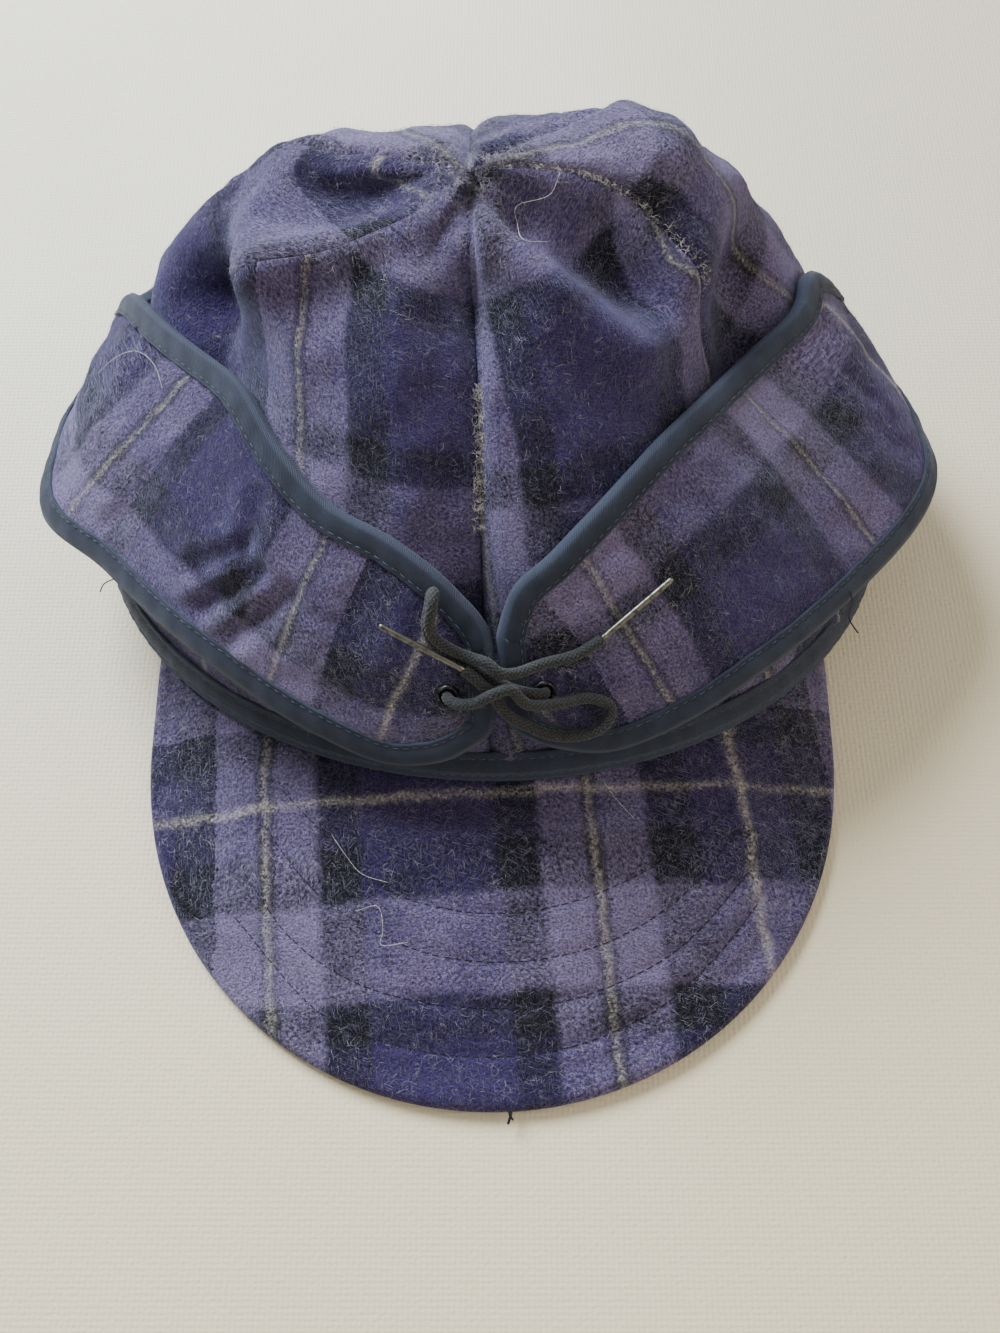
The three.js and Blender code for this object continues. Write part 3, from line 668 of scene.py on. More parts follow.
def floor_cloth(shade):
    """A pale woven cloth, with painted shade making it browner to the right and painted warm light making
    it creamier towards the camera.
    """
    place = shade.node("ShaderNodeNewGeometry", {}, {})
    scaled = {"Vector": place, "Scale": FLOOR_WEAVE}
    warp = place.node("ShaderNodeTexWave", {"bands_direction": "X"}, scaled)
    weft = place.node("ShaderNodeTexWave", {"bands_direction": "Y"}, scaled)
    patch = place.noise(7.0, 4, 0.55)
    weave = warp * 0.5 + weft * 0.5
    grain = place.noise(900.0, 2, 0.6)
    base = patch.step(0.3, 0.7).blend(colour(231, 226, 208), colour(239, 234, 219))
    # painted shade: browner and darker to the right, where the window light falls off
    base = (place.part(0).step(-0.08, 0.2) * 0.75).blend(base, colour(212, 202, 180))
    # painted warm light: creamier towards the camera
    base = ((1 - place.part(1).step(-0.16, 0.14)) * 0.7).blend(base, colour(240, 226, 188))
    return {"Base Color": base, "Normal": bumped(shade, weave * 0.22 + grain * 0.5 + patch * 0.8, 0.0004)}


WOOL_MATERIAL = material(
    "purple plaid wool", plaid_wool, Roughness=0.95, Specular_IOR_Level=0.1, Sheen_Weight=0.55,
    Sheen_Roughness=0.3, Sheen_Tint=colour(196, 200, 244),
)
TAPE_MATERIAL = material(
    "slate binding tape", twill_tape, Roughness=0.72, Specular_IOR_Level=0.3, Sheen_Weight=0.2,
    Sheen_Roughness=0.4, Sheen_Tint=colour(200, 206, 222),
)
CORD_MATERIAL = material(
    "charcoal braided cord", braid_cord, Roughness=0.7, Specular_IOR_Level=0.35, Sheen_Weight=0.2,
    Sheen_Roughness=0.4,
)
SLATE_THREAD = mottled(
    "slate sewing thread", (1800.0, 2), (0.3, 0.7), [(52, 58, 72), (86, 94, 110)], (0.2, 0.6),
    Specular_IOR_Level=0.35,
)
DARK_THREAD = mottled(
    "dark sewing thread", (1600.0, 2), (0.3, 0.7), [(20, 18, 26), (40, 37, 52)], (0.2, 0.7),
    Specular_IOR_Level=0.3,
)
PALE_THREAD = mottled(
    "pale loose thread", (1500.0, 2), (0.3, 0.7), [(150, 148, 150), (214, 212, 208)], (0.2, 0.7),
    Specular_IOR_Level=0.3,
)
HAIR_MATERIAL = mottled(
    "pale wool hairs", (420.0, 2), (0.36, 0.7), [(86, 82, 100), (172, 168, 180)], (0.1, 0.8),
    Specular_IOR_Level=0.2,
)
TAN_HAIR = mottled(
    "tan frayed hairs", (400.0, 2), (0.35, 0.65), [(146, 143, 144), (212, 208, 206)], (0.1, 0.8),
    Specular_IOR_Level=0.2,
)
DARK_METAL = mottled(
    "dark eyelet metal", (900.0, 4, 0.65), (0.45, 0.75), [(38, 39, 44), (120, 118, 112)], (0.35, 0.22),
    Metallic=0.9,
)
BRIGHT_METAL = mottled(
    "bright aglet metal", (700.0, 4, 0.65), (0.4, 0.75), [(128, 127, 120), (58, 55, 50)], (0.3, 0.25),
    Metallic=1.0,
)
FLOOR_MATERIAL = material("pale floor cloth", floor_cloth, Roughness=0.95, Specular_IOR_Level=0.1)


def mesh_object(name, points, faces, surface, cloth=None):
    """An object from points in millimetres, with the cloth map given for each point."""
    mesh = bpy.data.meshes.new(name)
    corners_of_faces = faces.tolist() if isinstance(faces, np.ndarray) else faces
    mesh.from_pydata(in_frame(points).tolist(), [], corners_of_faces)
    mesh.polygons.foreach_set("use_smooth", [True] * len(mesh.polygons))
    if cloth is not None:
        corners = np.zeros(len(mesh.loops), int)
        mesh.loops.foreach_get("vertex_index", corners)
        layer = mesh.uv_layers.new(name="cloth")
        layer.uv.foreach_set("vector", np.asarray(cloth, float)[corners].ravel())
    mesh.materials.append(surface)
    made = bpy.data.objects.new(name, mesh)
    bpy.context.scene.collection.objects.link(made)
    return made


def grid_faces(columns, rows, start=0, flip=False):
    i, j = np.meshgrid(np.arange(columns - 1), np.arange(rows - 1), indexing="ij")
    corner = start + i * rows + j
    quads = np.stack([corner, corner + rows, corner + rows + 1, corner + 1], -1).reshape(-1, 4)
    return quads[:, ::-1] if flip else quads


def shell(name, outer, inner, surface, cloth):
    """A closed cloth wall between an outer and an inner grid, its columns turning right."""
    columns, rows = outer.shape[:2]
    points = np.concatenate([outer.reshape(-1, 3), inner.reshape(-1, 3)])
    size = columns * rows
    faces = [grid_faces(columns, rows), grid_faces(columns, rows, size, True)]
    first = np.arange(columns - 1) * rows
    for row, flip in ((0, True), (rows - 1, False)):
        a = first + row
        rim = np.stack([a, a + rows, a + rows + size, a + size], -1)
        faces.append(rim if not flip else rim[:, ::-1])
    along = np.arange(rows - 1)
    for column, flip in ((0, False), (columns - 1, True)):
        a = column * rows + along
        side = np.stack([a, a + 1, a + 1 + size, a + size], -1)
        faces.append(side if not flip else side[:, ::-1])
    flat = cloth.reshape(-1, 2)
    return mesh_object(name, points, np.concatenate(faces), surface, np.concatenate([flat, flat]))


def grid_normals(grid):
    along = np.gradient(grid, axis=0)
    upward = np.gradient(grid, axis=1)
    return unit(np.cross(along, upward))


def arc(points):
    """How far along a row of points each one is."""
    steps = np.linalg.norm(np.diff(points, axis=0), axis=-1)
    return np.concatenate([[0], np.cumsum(steps)])


def cut_cloth(across, upward, cut, lean):
    """The cloth map of a piece from its flat measures and how it was cut."""
    warp = cut["warp"] + cut["warp_scale"] * across + lean * upward
    weft = cut["weft"] + cut["weft_scale"] * upward + cut["bow"] * across
    return np.stack(np.broadcast_arrays(warp, weft), -1)


def finish_piece(piece, slot, *nodes):
    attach(piece, "root")
    if nodes:
        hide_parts(*nodes)
    return piece


# Camera
IMAGE_WIDTH = 1000
IMAGE_HEIGHT = 1333
FOCAL_PIXELS = 1300
EYE = np.array([1.9, -195.6, 305.3])
LOOK_AT = np.array([1.9, -46.7, 0.0])
SENSOR = 36
camera_data = bpy.data.cameras.new("camera")
camera_data.sensor_fit = "VERTICAL"
camera_data.sensor_height = SENSOR
camera_data.lens = FOCAL_PIXELS / IMAGE_HEIGHT * SENSOR
camera_data.clip_start = 0.01
camera = bpy.data.objects.new("camera", camera_data)
bpy.context.scene.collection.objects.link(camera)
camera.location = Vector(in_frame(EYE))
aim = Vector(in_frame(LOOK_AT)) - camera.location
camera.rotation_euler = aim.to_track_quat("-Z", "Y").to_euler()
bpy.context.scene.camera = camera


VIEW_AHEAD = unit(LOOK_AT - EYE)
VIEW_SIDE = unit(np.cross(VIEW_AHEAD, [0, 0, 1.0]))
VIEW_UP = np.cross(VIEW_SIDE, VIEW_AHEAD)


def in_view(points):
    """Where places show in the photo's pixels, and how far they are from the camera."""
    away = np.asarray(points, float) - EYE
    far = away @ VIEW_AHEAD
    across = IMAGE_WIDTH / 2 + FOCAL_PIXELS * (away @ VIEW_SIDE) / far
    down = IMAGE_HEIGHT / 2 - FOCAL_PIXELS * (away @ VIEW_UP) / far
    return np.stack([across, down], -1), far


def far_along(pixel, far):
    """The place at a pixel of the photo, that far before the camera."""
    across = (pixel[0] - IMAGE_WIDTH / 2) / FOCAL_PIXELS
    down = (pixel[1] - IMAGE_HEIGHT / 2) / FOCAL_PIXELS
    return EYE + (VIEW_AHEAD + VIEW_SIDE * across - VIEW_UP * down) * far


def centripetal(stops, per_stop):
    """A smooth line through stops, by a centripetal Catmull-Rom spline."""
    stops = np.asarray(stops, float)
    before = 2 * stops[0] - stops[1]
    after = 2 * stops[-1] - stops[-2]
    padded = np.vstack([before, stops, after])
    line = []
    for i in range(1, len(padded) - 2):
        a, b, c, d = padded[i - 1 : i + 3]
        one, two, three = (np.sqrt(np.linalg.norm(q - p)) for p, q in ((a, b), (b, c), (c, d)))
        start = ((b - a) / one - (c - a) / (one + two) + (c - b) / two) * two
        end = ((c - b) / two - (d - b) / (two + three) + (d - c) / three) * two
        for t in np.arange(per_stop) / per_stop:
            square = (3 * (c - b) - 2 * start - end) * t * t
            line.append(b + start * t + square + (2 * (b - c) + start + end) * t**3)
    line.append(stops[-1])
    return np.array(line)


def at_runs(at, run, points):
    """The places, or normals, that far along a line, between those given."""
    return np.stack([np.interp(at, run, points[:, k]) for k in range(3)], -1)


def even(points, spacing):
    """The same line with points at an even spacing."""
    run = arc(points)
    count = max(2, int(round(run[-1] / spacing)) + 1)
    return at_runs(np.linspace(0, run[-1], count), run, points)


def side_frames(line):
    """Two directions across each point of a line, that don't twist along it."""
    ahead = unit(np.gradient(line, axis=0))
    side = np.cross(ahead[0], [0.3, 0.2, 1.0])
    sides = []
    for way in ahead:
        side = side - way * (side @ way)
        side = side / np.linalg.norm(side)
        sides.append(side)
    sides = np.array(sides)
    return sides, np.cross(ahead, sides)


def tube_points(line, radius, sides):
    """Rings round a line: radius is a number or a function of the place along and round."""
    one, two = side_frames(line)
    angle = np.arange(sides) / sides * 2 * math.pi
    run = arc(line)
    size = radius(run[:, None], angle[None]) if callable(radius) else radius
    far = np.broadcast_to(size, (len(line), sides))
    ring = np.cos(angle)[None, :, None] * one[:, None] + np.sin(angle)[None, :, None] * two[:, None]
    return line[:, None] + ring * far[..., None]


def tube_faces(count, sides, start=0):
    i, j = np.meshgrid(np.arange(count - 1), np.arange(sides), indexing="ij")
    a = start + i * sides + j
    b = start + i * sides + (j + 1) % sides
    return np.stack([a, b, b + sides, a + sides], -1).reshape(-1, 4)


def closed_tube(line, radius, sides):
    """Points and faces of a tube with its ends drawn in to a point."""
    rings = tube_points(line, radius, sides)
    points = np.concatenate([line[:1], rings.reshape(-1, 3), line[-1:]])
    count = len(line)
    faces = tube_faces(count, sides, 1).tolist()
    last = 1 + count * sides
    for j in range(sides):
        k = (j + 1) % sides
        faces.append([0, 1 + k, 1 + j])
        faces.append([last, last - sides + j, last - sides + k])
    return points, faces


# The braided lace
BRAID_STRANDS = 8
BRAID_PITCH = 9.2
BRAID_RELIEF = 0.3
BRAID_FLOOR = LACE / 2 - 0.2
LACE_STEPS = 24
LACE_SPACING = 0.16
LACE_SIDES = 40

# A tip of the lace: how thick it is along its length, and how flat it is pinched beyond its collar.
AGLET_REACH = np.array([-1.2, 0.25, 0.35, 0.8, 1.1, 1.5, 2.2, 9, 16, 19.6, 20.1, 20.3])
AGLET_RADIUS = np.array([0.72, 0.72, 0.78, 0.78, 0.64, 0.64, 0.75, 0.75, 0.74, 0.72, 0.6, 0.35])
AGLET_PINCH = 0.05
AGLET_PINCH_FROM = 3
AGLET_SIDES = 20


def braid_radius(run, angle):
    """Strands that wind both ways round the cord and pass over and under each other."""
    one = angle * BRAID_STRANDS / (2 * math.pi) + run * BRAID_STRANDS / BRAID_PITCH
    two = angle * BRAID_STRANDS / (2 * math.pi) - run * BRAID_STRANDS / BRAID_PITCH
    over = (np.floor(one) + np.floor(two)) % 2 < 1
    swell = np.where(over, np.abs(np.sin(math.pi * one)), np.abs(np.sin(math.pi * two)))
    return BRAID_FLOOR + BRAID_RELIEF * swell**0.8


def make_lace():
    line = even(centripetal(knot_place(LACE_STOPS), LACE_STEPS), LACE_SPACING)
    points, faces = closed_tube(line, braid_radius, LACE_SIDES)
    run = arc(line)
    angle = np.arange(LACE_SIDES) / LACE_SIDES * 2 * math.pi
    # how high the braid swells, kept in the cloth map for the painted shade between its strands
    swell = (braid_radius(run[:, None], angle[None]) - BRAID_FLOOR) / BRAID_RELIEF
    cloth = np.stack(np.broadcast_arrays(run[:, None], swell), -1).reshape(-1, 2)
    cloth = np.concatenate([[[0, 0]], cloth, [[run[-1], 0]]])
    piece = mesh_object("braided_lace", points, faces, CORD_MATERIAL, cloth)
    finish_piece(piece, "lace_cord", "lace")
    return piece, line


def make_aglet(name, stops):
    start = knot_place(stops["start"])
    way = unit(knot_place(stops["towards"]) - start)
    reach = AGLET_REACH + GAP
    line = start + way * reach[:, None]

    def pinched(run, angle):
        size = np.interp(run, reach - reach[0], AGLET_RADIUS)
        return size * (1 - AGLET_PINCH * np.cos(2 * angle) * (run > AGLET_PINCH_FROM))

    points, faces = closed_tube(line, pinched, AGLET_SIDES)
    piece = mesh_object("metal_" + name, points, faces, BRIGHT_METAL)
    return finish_piece(piece, "bright_metal", name)


lace, lace_line = make_lace()
aglets = [make_aglet(name, stops) for name, stops in AGLETS.items()]

# Crown
GORE_COLUMNS = 60
GORE_ROWS = 84
RIM_RAISE = 0.6
SEAM_WIDTH = 1.3
SEAM_ROLL = 0.35
SEAM_ROLL_AT = 4.5
SEAM_ROLL_WIDTH = 2.5
RIDGE_WIDTH = 6
RIDGE_RISE = (52, 64)
PUCKER = 0.25
PUCKER_REACH = 5
PUCKER_SIZE = 5
RIM_FLAT = 12
GORE_WAVES = (0.55, 17, 0.18, 6)


def gore_grid(left, right):
    """Turns and rises of a gore's grid, closer together beside its seams."""
    plain = np.linspace(0, 1, GORE_COLUMNS + 1)
    across = mix(plain, (1 - np.cos(math.pi * plain)) / 2, 0.55)[:, None]
    upward = np.linspace(0, 1, GORE_ROWS + 1)[None]
    guess = mix(left["low"], right["low"], across)
    foot = rise_at(guess, RIM_RAISE)
    rise = mix(foot, top_rise(guess), upward**0.85)
    turn = mix(seam_turn(left, rise), seam_turn(right, rise), across)
    return turn, rise


def seam_distance(grid):
    """How far each point of a gore is from its nearer side seam."""
    steps = np.linalg.norm(np.diff(grid, axis=0), axis=-1)
    run = np.concatenate([np.zeros((1, grid.shape[1])), np.cumsum(steps, axis=0)])
    return np.minimum(run, run[-1:] - run), run


def nearer_seam(left, right, column):
    """A seam's value for each column of a gore, from the seam on its side."""
    on_left = np.arange(GORE_COLUMNS + 1) < GORE_COLUMNS / 2
    return np.where(on_left, left[column], right[column])[:, None]


def make_gore(index, name, left, right):
    """A crown gore between two seams: its wall, sunk at the seams and waved elsewhere."""
    turn, rise = gore_grid(left, right)
    skin = crown(turn, rise)
    normals = grid_normals(skin)
    near, run = seam_distance(skin)
    roll = -nearer_seam(left, right, "sunk") * np.exp(-((near / SEAM_WIDTH) ** 1.5))
    roll += SEAM_ROLL * bump_at(near, SEAM_ROLL_AT, SEAM_ROLL_WIDTH)
    roll += nearer_seam(left, right, "ridge") * bump_at(near, 0, RIDGE_WIDTH) * smooth(*RIDGE_RISE, rise)
    pucker = PUCKER * np.exp(-near / PUCKER_REACH) * lumps(skin, PUCKER_SIZE, 20 + index)
    fade = smooth(0, RIM_FLAT, rise - rise[:, :1])
    lift = roll + (pucker + waves(skin, GORE_WAVES, 40 + index, 60 + index)) * fade * smooth(0, 5, near)
    outer = skin + normals * lift[..., None]
    level = smooth(TOP_LEVEL_LOW, TOP_LEVEL_HIGH, rise)[..., None]
    inward = unit(normals * (1 - level) + np.array([0, 0, 1.0]) * level)
    inner = skin - inward * WOOL
    inner[:, 0, 2] = skin[:, 0, 2]
    middle = GORE_COLUMNS // 2
    zero = {"front_left": run[-1:], "front_right": run[:1]}.get(name, run[middle])
    across = run - zero
    upward = arc(skin[middle])[None] + 0 * across
    cut = {**PLAIN_CUT, **CUTS[name]}
    cloth = cut_cloth(across, upward, cut, cut["lean"])
    piece = shell("wool_gore_" + name, outer, inner, WOOL_MATERIAL, cloth)
    finish_piece(piece, "plaid_wool", "crown_gore_" + name)
    return outer, normals


gore_skins = {}
seams = [dict(zip(SEAM_COLUMNS, row)) for row in SEAMS.values()]
for number, name in enumerate(list(SEAMS)[:-1]):
    gore_skins[name] = make_gore(number, name, seams[number], seams[number + 1])

# Earband
BAND_COLUMNS = 330
BAND_CELLS = 44
BAND_WAVES = (0.45, 15, 0.15, 5.5)
CLEAR = 9
EYELET_SINK = 1.7
EYELET_SINK_WIDTH = 1.5

# The earband's cloth laid flat: its width, and where along it the thread stops leaning, is stretched
# and is gathered.
BAND_FLAT = 50
BAND_LEAN_LOSS = 1.15
BAND_LEAN_ALONG = (5, 115)
BAND_STRETCH = 5
BAND_STRETCH_ALONG = (60, 100)
BAND_GATHER = 16
BAND_GATHER_OVER = 30

# Small furrows of the left earband, by the pixels of the photo between which they show. How wide they
# are and where their raised banks lie is in pixels too, and how deep they are is in millimetres.
FURROW_WIDTH = 11
FURROW_BANK = 1.9 * FURROW_WIDTH
FURROW_BANK_HEIGHT = 0.45
FURROWS = [
    {"start": (196, 566), "end": (244, 548), "deep": 1.3},
    {"start": (208, 604), "end": (262, 574), "deep": 1.6},
    {"start": (236, 634), "end": (286, 596), "deep": 1.2},
    {"start": (120, 520), "end": (160, 470), "deep": 0.9},
    {"start": (262, 500), "end": (250, 560), "deep": 0.8},
]


def furrow_depth(points):
    """How far the furrows press in the cloth at each place."""
    seen, _ = in_view(points)
    depth = np.zeros(points.shape[:-1])
    for furrow in FURROWS:
        away = away_from(seen, np.array(furrow["start"], float), np.array(furrow["end"], float))
        banks = bump_at(away, FURROW_BANK, FURROW_WIDTH)
        depth += furrow["deep"] * (bump_at(away, 0, FURROW_WIDTH) - FURROW_BANK_HEIGHT * banks)
    return depth


def make_band(name, rows, eyelet):
    """One half of the earband: its wall, pressed in at the eyelet and waved elsewhere."""
    cut = {**PLAIN_CUT, **CUTS[name]}
    last = len(rows) - 1
    turns_right = rows[last]["low"][0] > 0
    along = np.linspace(0, last, BAND_COLUMNS + 1)[:, None]
    across = np.linspace(0, 1, BAND_CELLS + 1)[None]
    middle = band_place(rows, along, across)
    normals = band_normal(rows, along, across)
    seed = 80 if turns_right else 90
    edge = np.minimum(across, 1 - across) * BAND_FLAT
    lift = waves(middle, BAND_WAVES, seed, seed + 1) * smooth(2, CLEAR, edge) * smooth(0, 0.5, along)
    if not turns_right:
        lift = lift - furrow_depth(middle) * smooth(3, CLEAR, edge)
    hole = band_place(rows, eyelet["along"], eyelet["across"])
    pull = np.linalg.norm(middle - hole, axis=-1)
    lift = lift * smooth(3, CLEAR, pull)
    pressed = EYELET_SINK * np.exp(-((pull / EYELET_SINK_WIDTH) ** 4))
    outer = middle + normals * (BAND_WOOL / 2 + lift - pressed)[..., None]
    inner = middle + normals * (-BAND_WOOL / 2 + lift)[..., None]
    centre = band_place(rows, along[:, 0], 0.5)
    flat_along = arc(centre)[:, None] + 0 * across
    flat_across = (across - 0.5) * BAND_FLAT + 0 * along
    lean = cut["lean"] * (1 - BAND_LEAN_LOSS * smooth(*BAND_LEAN_ALONG, flat_along))
    stretched = BAND_STRETCH * smooth(*BAND_STRETCH_ALONG, flat_along)
    gathered = BAND_GATHER * smooth(cut["eased"], cut["eased"] + BAND_GATHER_OVER, flat_along)
    cloth = cut_cloth(flat_along + stretched - gathered, flat_across, cut, lean)
    if not turns_right:
        outer, inner, cloth = outer[::-1], inner[::-1], cloth[::-1]
    piece = shell("wool_" + name, outer, inner, WOOL_MATERIAL, cloth)
    finish_piece(piece, "plaid_wool", name)
    return outer


BANDS = {"left": BAND_LEFT, "right": BAND_RIGHT}
band_skins = {}
for side, rows in BANDS.items():
    band_skins[side] = make_band("earband_" + side, rows, EYELETS["eyelet_" + side])

# Visor
VISOR_COLUMNS = 220
VISOR_CELLS = 70
VISOR_WAVES = (0.35, 16, 0.15, 6)
GROOVE = 0.75
GROOVE_WIDTH = 1.1
GROOVE_BANK = 0.25
EDGE_ROLL = 0.3

# How the visor was cut: the sett at one of its places, a slant, a squeeze and a pull near the crown.
VISOR_SETT_X = 25
VISOR_SETT_Y = -110
VISOR_WARP = 87.4
VISOR_WEFT = 98.0
VISOR_SLANT = 0.088
VISOR_SPREAD = 0.0004
VISOR_SQUEEZE_LEFT = 0.968
VISOR_SQUEEZE_RIGHT = 0.875
VISOR_TILT = 0.055
VISOR_DRAW = 3

VISOR_STITCH_ROWS = [
    [
        (-52, -84), (-40.1, -96.3), (-24.3, -110.1), (-7, -115.4),
        (8.8, -115.2), (24.9, -111), (46.1, -99.3), (56, -90),
    ],
    [
        (-56, -92), (-40.2, -110.8), (-18.3, -123.4), (3, -126.4),
        (24.6, -122.6), (43.2, -111.9), (58, -96),
    ],
    [
        (-60, -103), (-45.5, -121.2), (-28.8, -131.4), (-7.5, -135.9),
        (15.4, -134.9), (35.9, -127.3), (47.5, -119), (62, -103),
    ],
    [
        (-62, -113), (-39.2, -136.7), (-24.9, -142.9), (-3.9, -146.4),
        (17.5, -144.3), (37.9, -135.9), (51.9, -124.1), (64, -110),
    ],
]


def planned_rows():
    rows = []
    for stops in VISOR_STITCH_ROWS:
        flat = np.array([(x, y, 0) for x, y in stops], float)
        rows.append(even(centripetal(flat, 20), 0.5))
    return rows


def distance_to(points, line):
    """How far points are in plan from a line, a slice at a time."""
    near = np.full(len(points), 1e9)
    for spot in line:
        near = np.minimum(near, np.hypot(points[:, 0] - spot[0], points[:, 1] - spot[1]))
    return near


def make_visor():
    """The visor's closed padded wall, grooved along its stitches, and the rows of stitches."""
    share = np.linspace(-1, 1, VISOR_COLUMNS + 1)[:, None]
    plain = np.linspace(0, 1, VISOR_CELLS + 1)
    out = mix(plain, 1 - (1 - plain) ** 1.6, 0.5)[None]
    top = visor_place(share, out)
    rows = planned_rows()
    flat = top.reshape(-1, 3)
    dip = np.zeros(len(flat))
    for line in rows:
        near = distance_to(flat, line[::2])
        dip -= GROOVE * np.exp(-((near / GROOVE_WIDTH) ** 1.6)) - GROOVE_BANK * bump_at(near, 3.2, 2)
    dip = dip.reshape(top.shape[:2])
    rim = np.linalg.norm(top - top[:, -1:], axis=-1)
    half = VISOR_THICK / 2
    drop = half - np.sqrt(np.maximum(0, half**2 - (half - np.minimum(rim, half)) ** 2))
    lift = (dip + waves(top, VISOR_WAVES, 7, 8)) * smooth(0, 6, rim) - drop
    crest = EDGE_ROLL * bump_at(rim, 3.5, 2.2)
    outer = top + np.array([0, 0, 1.0]) * (lift + crest)[..., None]
    under = np.maximum(0, top[..., 2] - VISOR_THICK)
    inner = top.copy()
    inner[..., 2] = under + np.minimum(drop, half)
    x, y = top[..., 0], top[..., 1] - VISOR_SETT_Y
    slant = VISOR_SLANT + VISOR_SPREAD * x
    squeeze = mix(VISOR_SQUEEZE_LEFT, VISOR_SQUEEZE_RIGHT, smooth(20, 62, x))
    warp = VISOR_WARP + (x - VISOR_SETT_X) * squeeze + slant * y
    weft = VISOR_WEFT + y - VISOR_TILT * x + VISOR_DRAW * bump_at(y, -3, 9)
    cloth = np.stack([warp, weft], -1)
    piece = shell("wool_visor", outer[:, ::-1], inner[:, ::-1], WOOL_MATERIAL, cloth[:, ::-1])
    finish_piece(piece, "plaid_wool", "visor")
    return outer, rows


visor_skin, visor_rows = make_visor()


# Binding tape, folded over an edge: how far in from the edge, and how far it stands up there.
TAPE_INWARD = np.array([0, 0.35, 0.9, 1.7, 2.6, 3.4, 3.9, 4.2, 4.5, 4.9, 5.15, 5.2])
TAPE_HEIGHT = np.array([0.55, 0.8, 0.98, 1.04, 1.0, 0.88, 0.66, 0.6, 0.72, 0.78, 0.55, 0.05])
STITCH_DEPTH = 4.2
BINDING_STATIONS = 380


def make_binding(name, rows, node):
    """The tape round an earband half, and the line and normals along which it is stitched."""
    last = len(rows) - 1
    turns_right = rows[last]["low"][0] > 0
    lower = np.linspace(last, 0, BINDING_STATIONS)
    ends = np.linspace(0, 1, 14)[1:-1]
    upper = np.linspace(0, last, BINDING_STATIONS)
    along = np.concatenate([lower, 0 * ends, upper])
    across = np.concatenate([0 * lower, ends, 0 * upper + 1])
    points = band_place(rows, along, across)
    normals = band_normal(rows, along, across)
    ahead = unit(np.roll(points, -1, 0) - np.roll(points, 1, 0))
    ahead[0], ahead[-1] = ahead[1], ahead[-2]
    inside = unit(np.cross(normals, ahead))
    if turns_right:
        inside = -inside
    run = arc(points)
    wobble = 0.12 * np.sin(run / 3.1) + 0.1 * np.sin(run / 1.37 + 2) + 0.1 * np.sin(run / 0.83)
    half = BAND_WOOL / 2
    outside = []
    for depth, stand in zip(TAPE_INWARD, TAPE_HEIGHT):
        ease = depth / TAPE_WIDTH
        goal = points + inside * (depth + wobble[:, None] * 0.35 * ease)
        place = nearest_on(rows, along.copy(), across.copy(), goal)
        spot = band_place(rows, *place)
        normal = band_normal(rows, *place)
        blend = smooth(0, 1.5, np.full(len(run), depth))[:, None]
        normal = unit(mix(normals, normal, blend))
        spot = mix(goal, spot, blend)
        swell = (stand * (1 + 0.1 * np.sin(run / 1.15 + 3 * ease) * (0.4 + ease)))[:, None]
        outside.append((spot, normal, swell, depth))
    columns = []
    depths = []
    for spot, normal, swell, depth in reversed(outside):
        columns.append(spot + normal * (half + swell * 0.95))
        depths.append(depth)
    for angle in np.linspace(60, -60, 5):
        bend = math.radians(angle)
        reach = -0.55 - 0.35 * math.cos(bend)
        columns.append(points + inside * reach + normals * (math.sin(bend) * (half + 0.2)))
        depths.append(reach)
    for spot, normal, swell, depth in outside:
        columns.append(spot - normal * (half + swell * 0.8))
        depths.append(depth)
    grid = np.stack(columns, 1)
    cloth = np.stack(np.broadcast_arrays(run[:, None], np.array(depths)[None]), -1)
    if not turns_right:
        grid, cloth = grid[::-1], cloth[::-1]
    count, sides = grid.shape[:2]
    faces = grid_faces(count, sides)
    piece = mesh_object(name, grid.reshape(-1, 3), faces, TAPE_MATERIAL, cloth.reshape(-1, 2))
    finish_piece(piece, "binding_tape", node)
    k = int(np.argmin(np.abs(TAPE_INWARD - STITCH_DEPTH)))
    spot, normal, swell, _ = outside[k]
    return spot + normal * (half + swell * 0.95), normal


THREAD_RADIUS = 0.13
THREAD_SIDES = 6
STITCH_DIVE = 2.4
TAPE_STITCH = {"pitch": 2.3, "length": 1.6, "rise": 0.12, "surface": SLATE_THREAD}
VISOR_STITCH = {"pitch": 2.5, "length": 2.3, "rise": 0.02, "surface": DARK_THREAD}


def stitches(name, line, normals, pitch, length, rise, surface):
    """Sewing stitches along a line: short bent threads whose ends dive into the cloth."""
    run = arc(line)
    starts = np.arange(pitch, run[-1] - pitch, pitch)
    profile = np.linspace(0, 1, 6)
    points = []
    faces = []
    for start in starts:
        at = start + profile * length
        lift = rise - THREAD_RADIUS * STITCH_DIVE * (2 * profile - 1) ** 4
        thread = at_runs(at, run, line) + unit(at_runs(at, run, normals)) * lift[:, None]
        more, quads = closed_tube(thread, THREAD_RADIUS, THREAD_SIDES)
        offset = sum(len(block) for block in points)
        points.append(more)
        faces += [[offset + index for index in face] for face in quads]
    piece = mesh_object(name, np.concatenate(points), faces, surface)
    return finish_piece(piece, "binding_tape")


for side, rows in BANDS.items():
    seam_line, seam_normals = make_binding("tape_binding_" + side, rows, "earband_binding_" + side)
    stitches("binding_stitches_" + side, seam_line, seam_normals, **TAPE_STITCH)


# The rim tape from its top to its foot, height by height and how far it stands off the crown, and
# the two rows of stitches in it.
RIM_STATIONS = 560
RIM_HEIGHTS = np.array([8, 7.95, 7.6, 7.0, 6.5, 6.0, 4.8, 3.4, 2.4, 2.0, 1.6, 0.9, 0.4, 0.3])
RIM_STANDS = np.array([0.15, 0.62, 0.78, 0.7, 0.5, 0.78, 0.95, 0.92, 0.75, 0.5, 0.75, 0.8, 0.6, 0.2])
RIM_INSIDE = (0.4, 1.5, 4, 7.2)
RIM_STITCHES = {"upper": 6.5, "lower": 2.0}
RIM_STITCH_STAND = 0.5


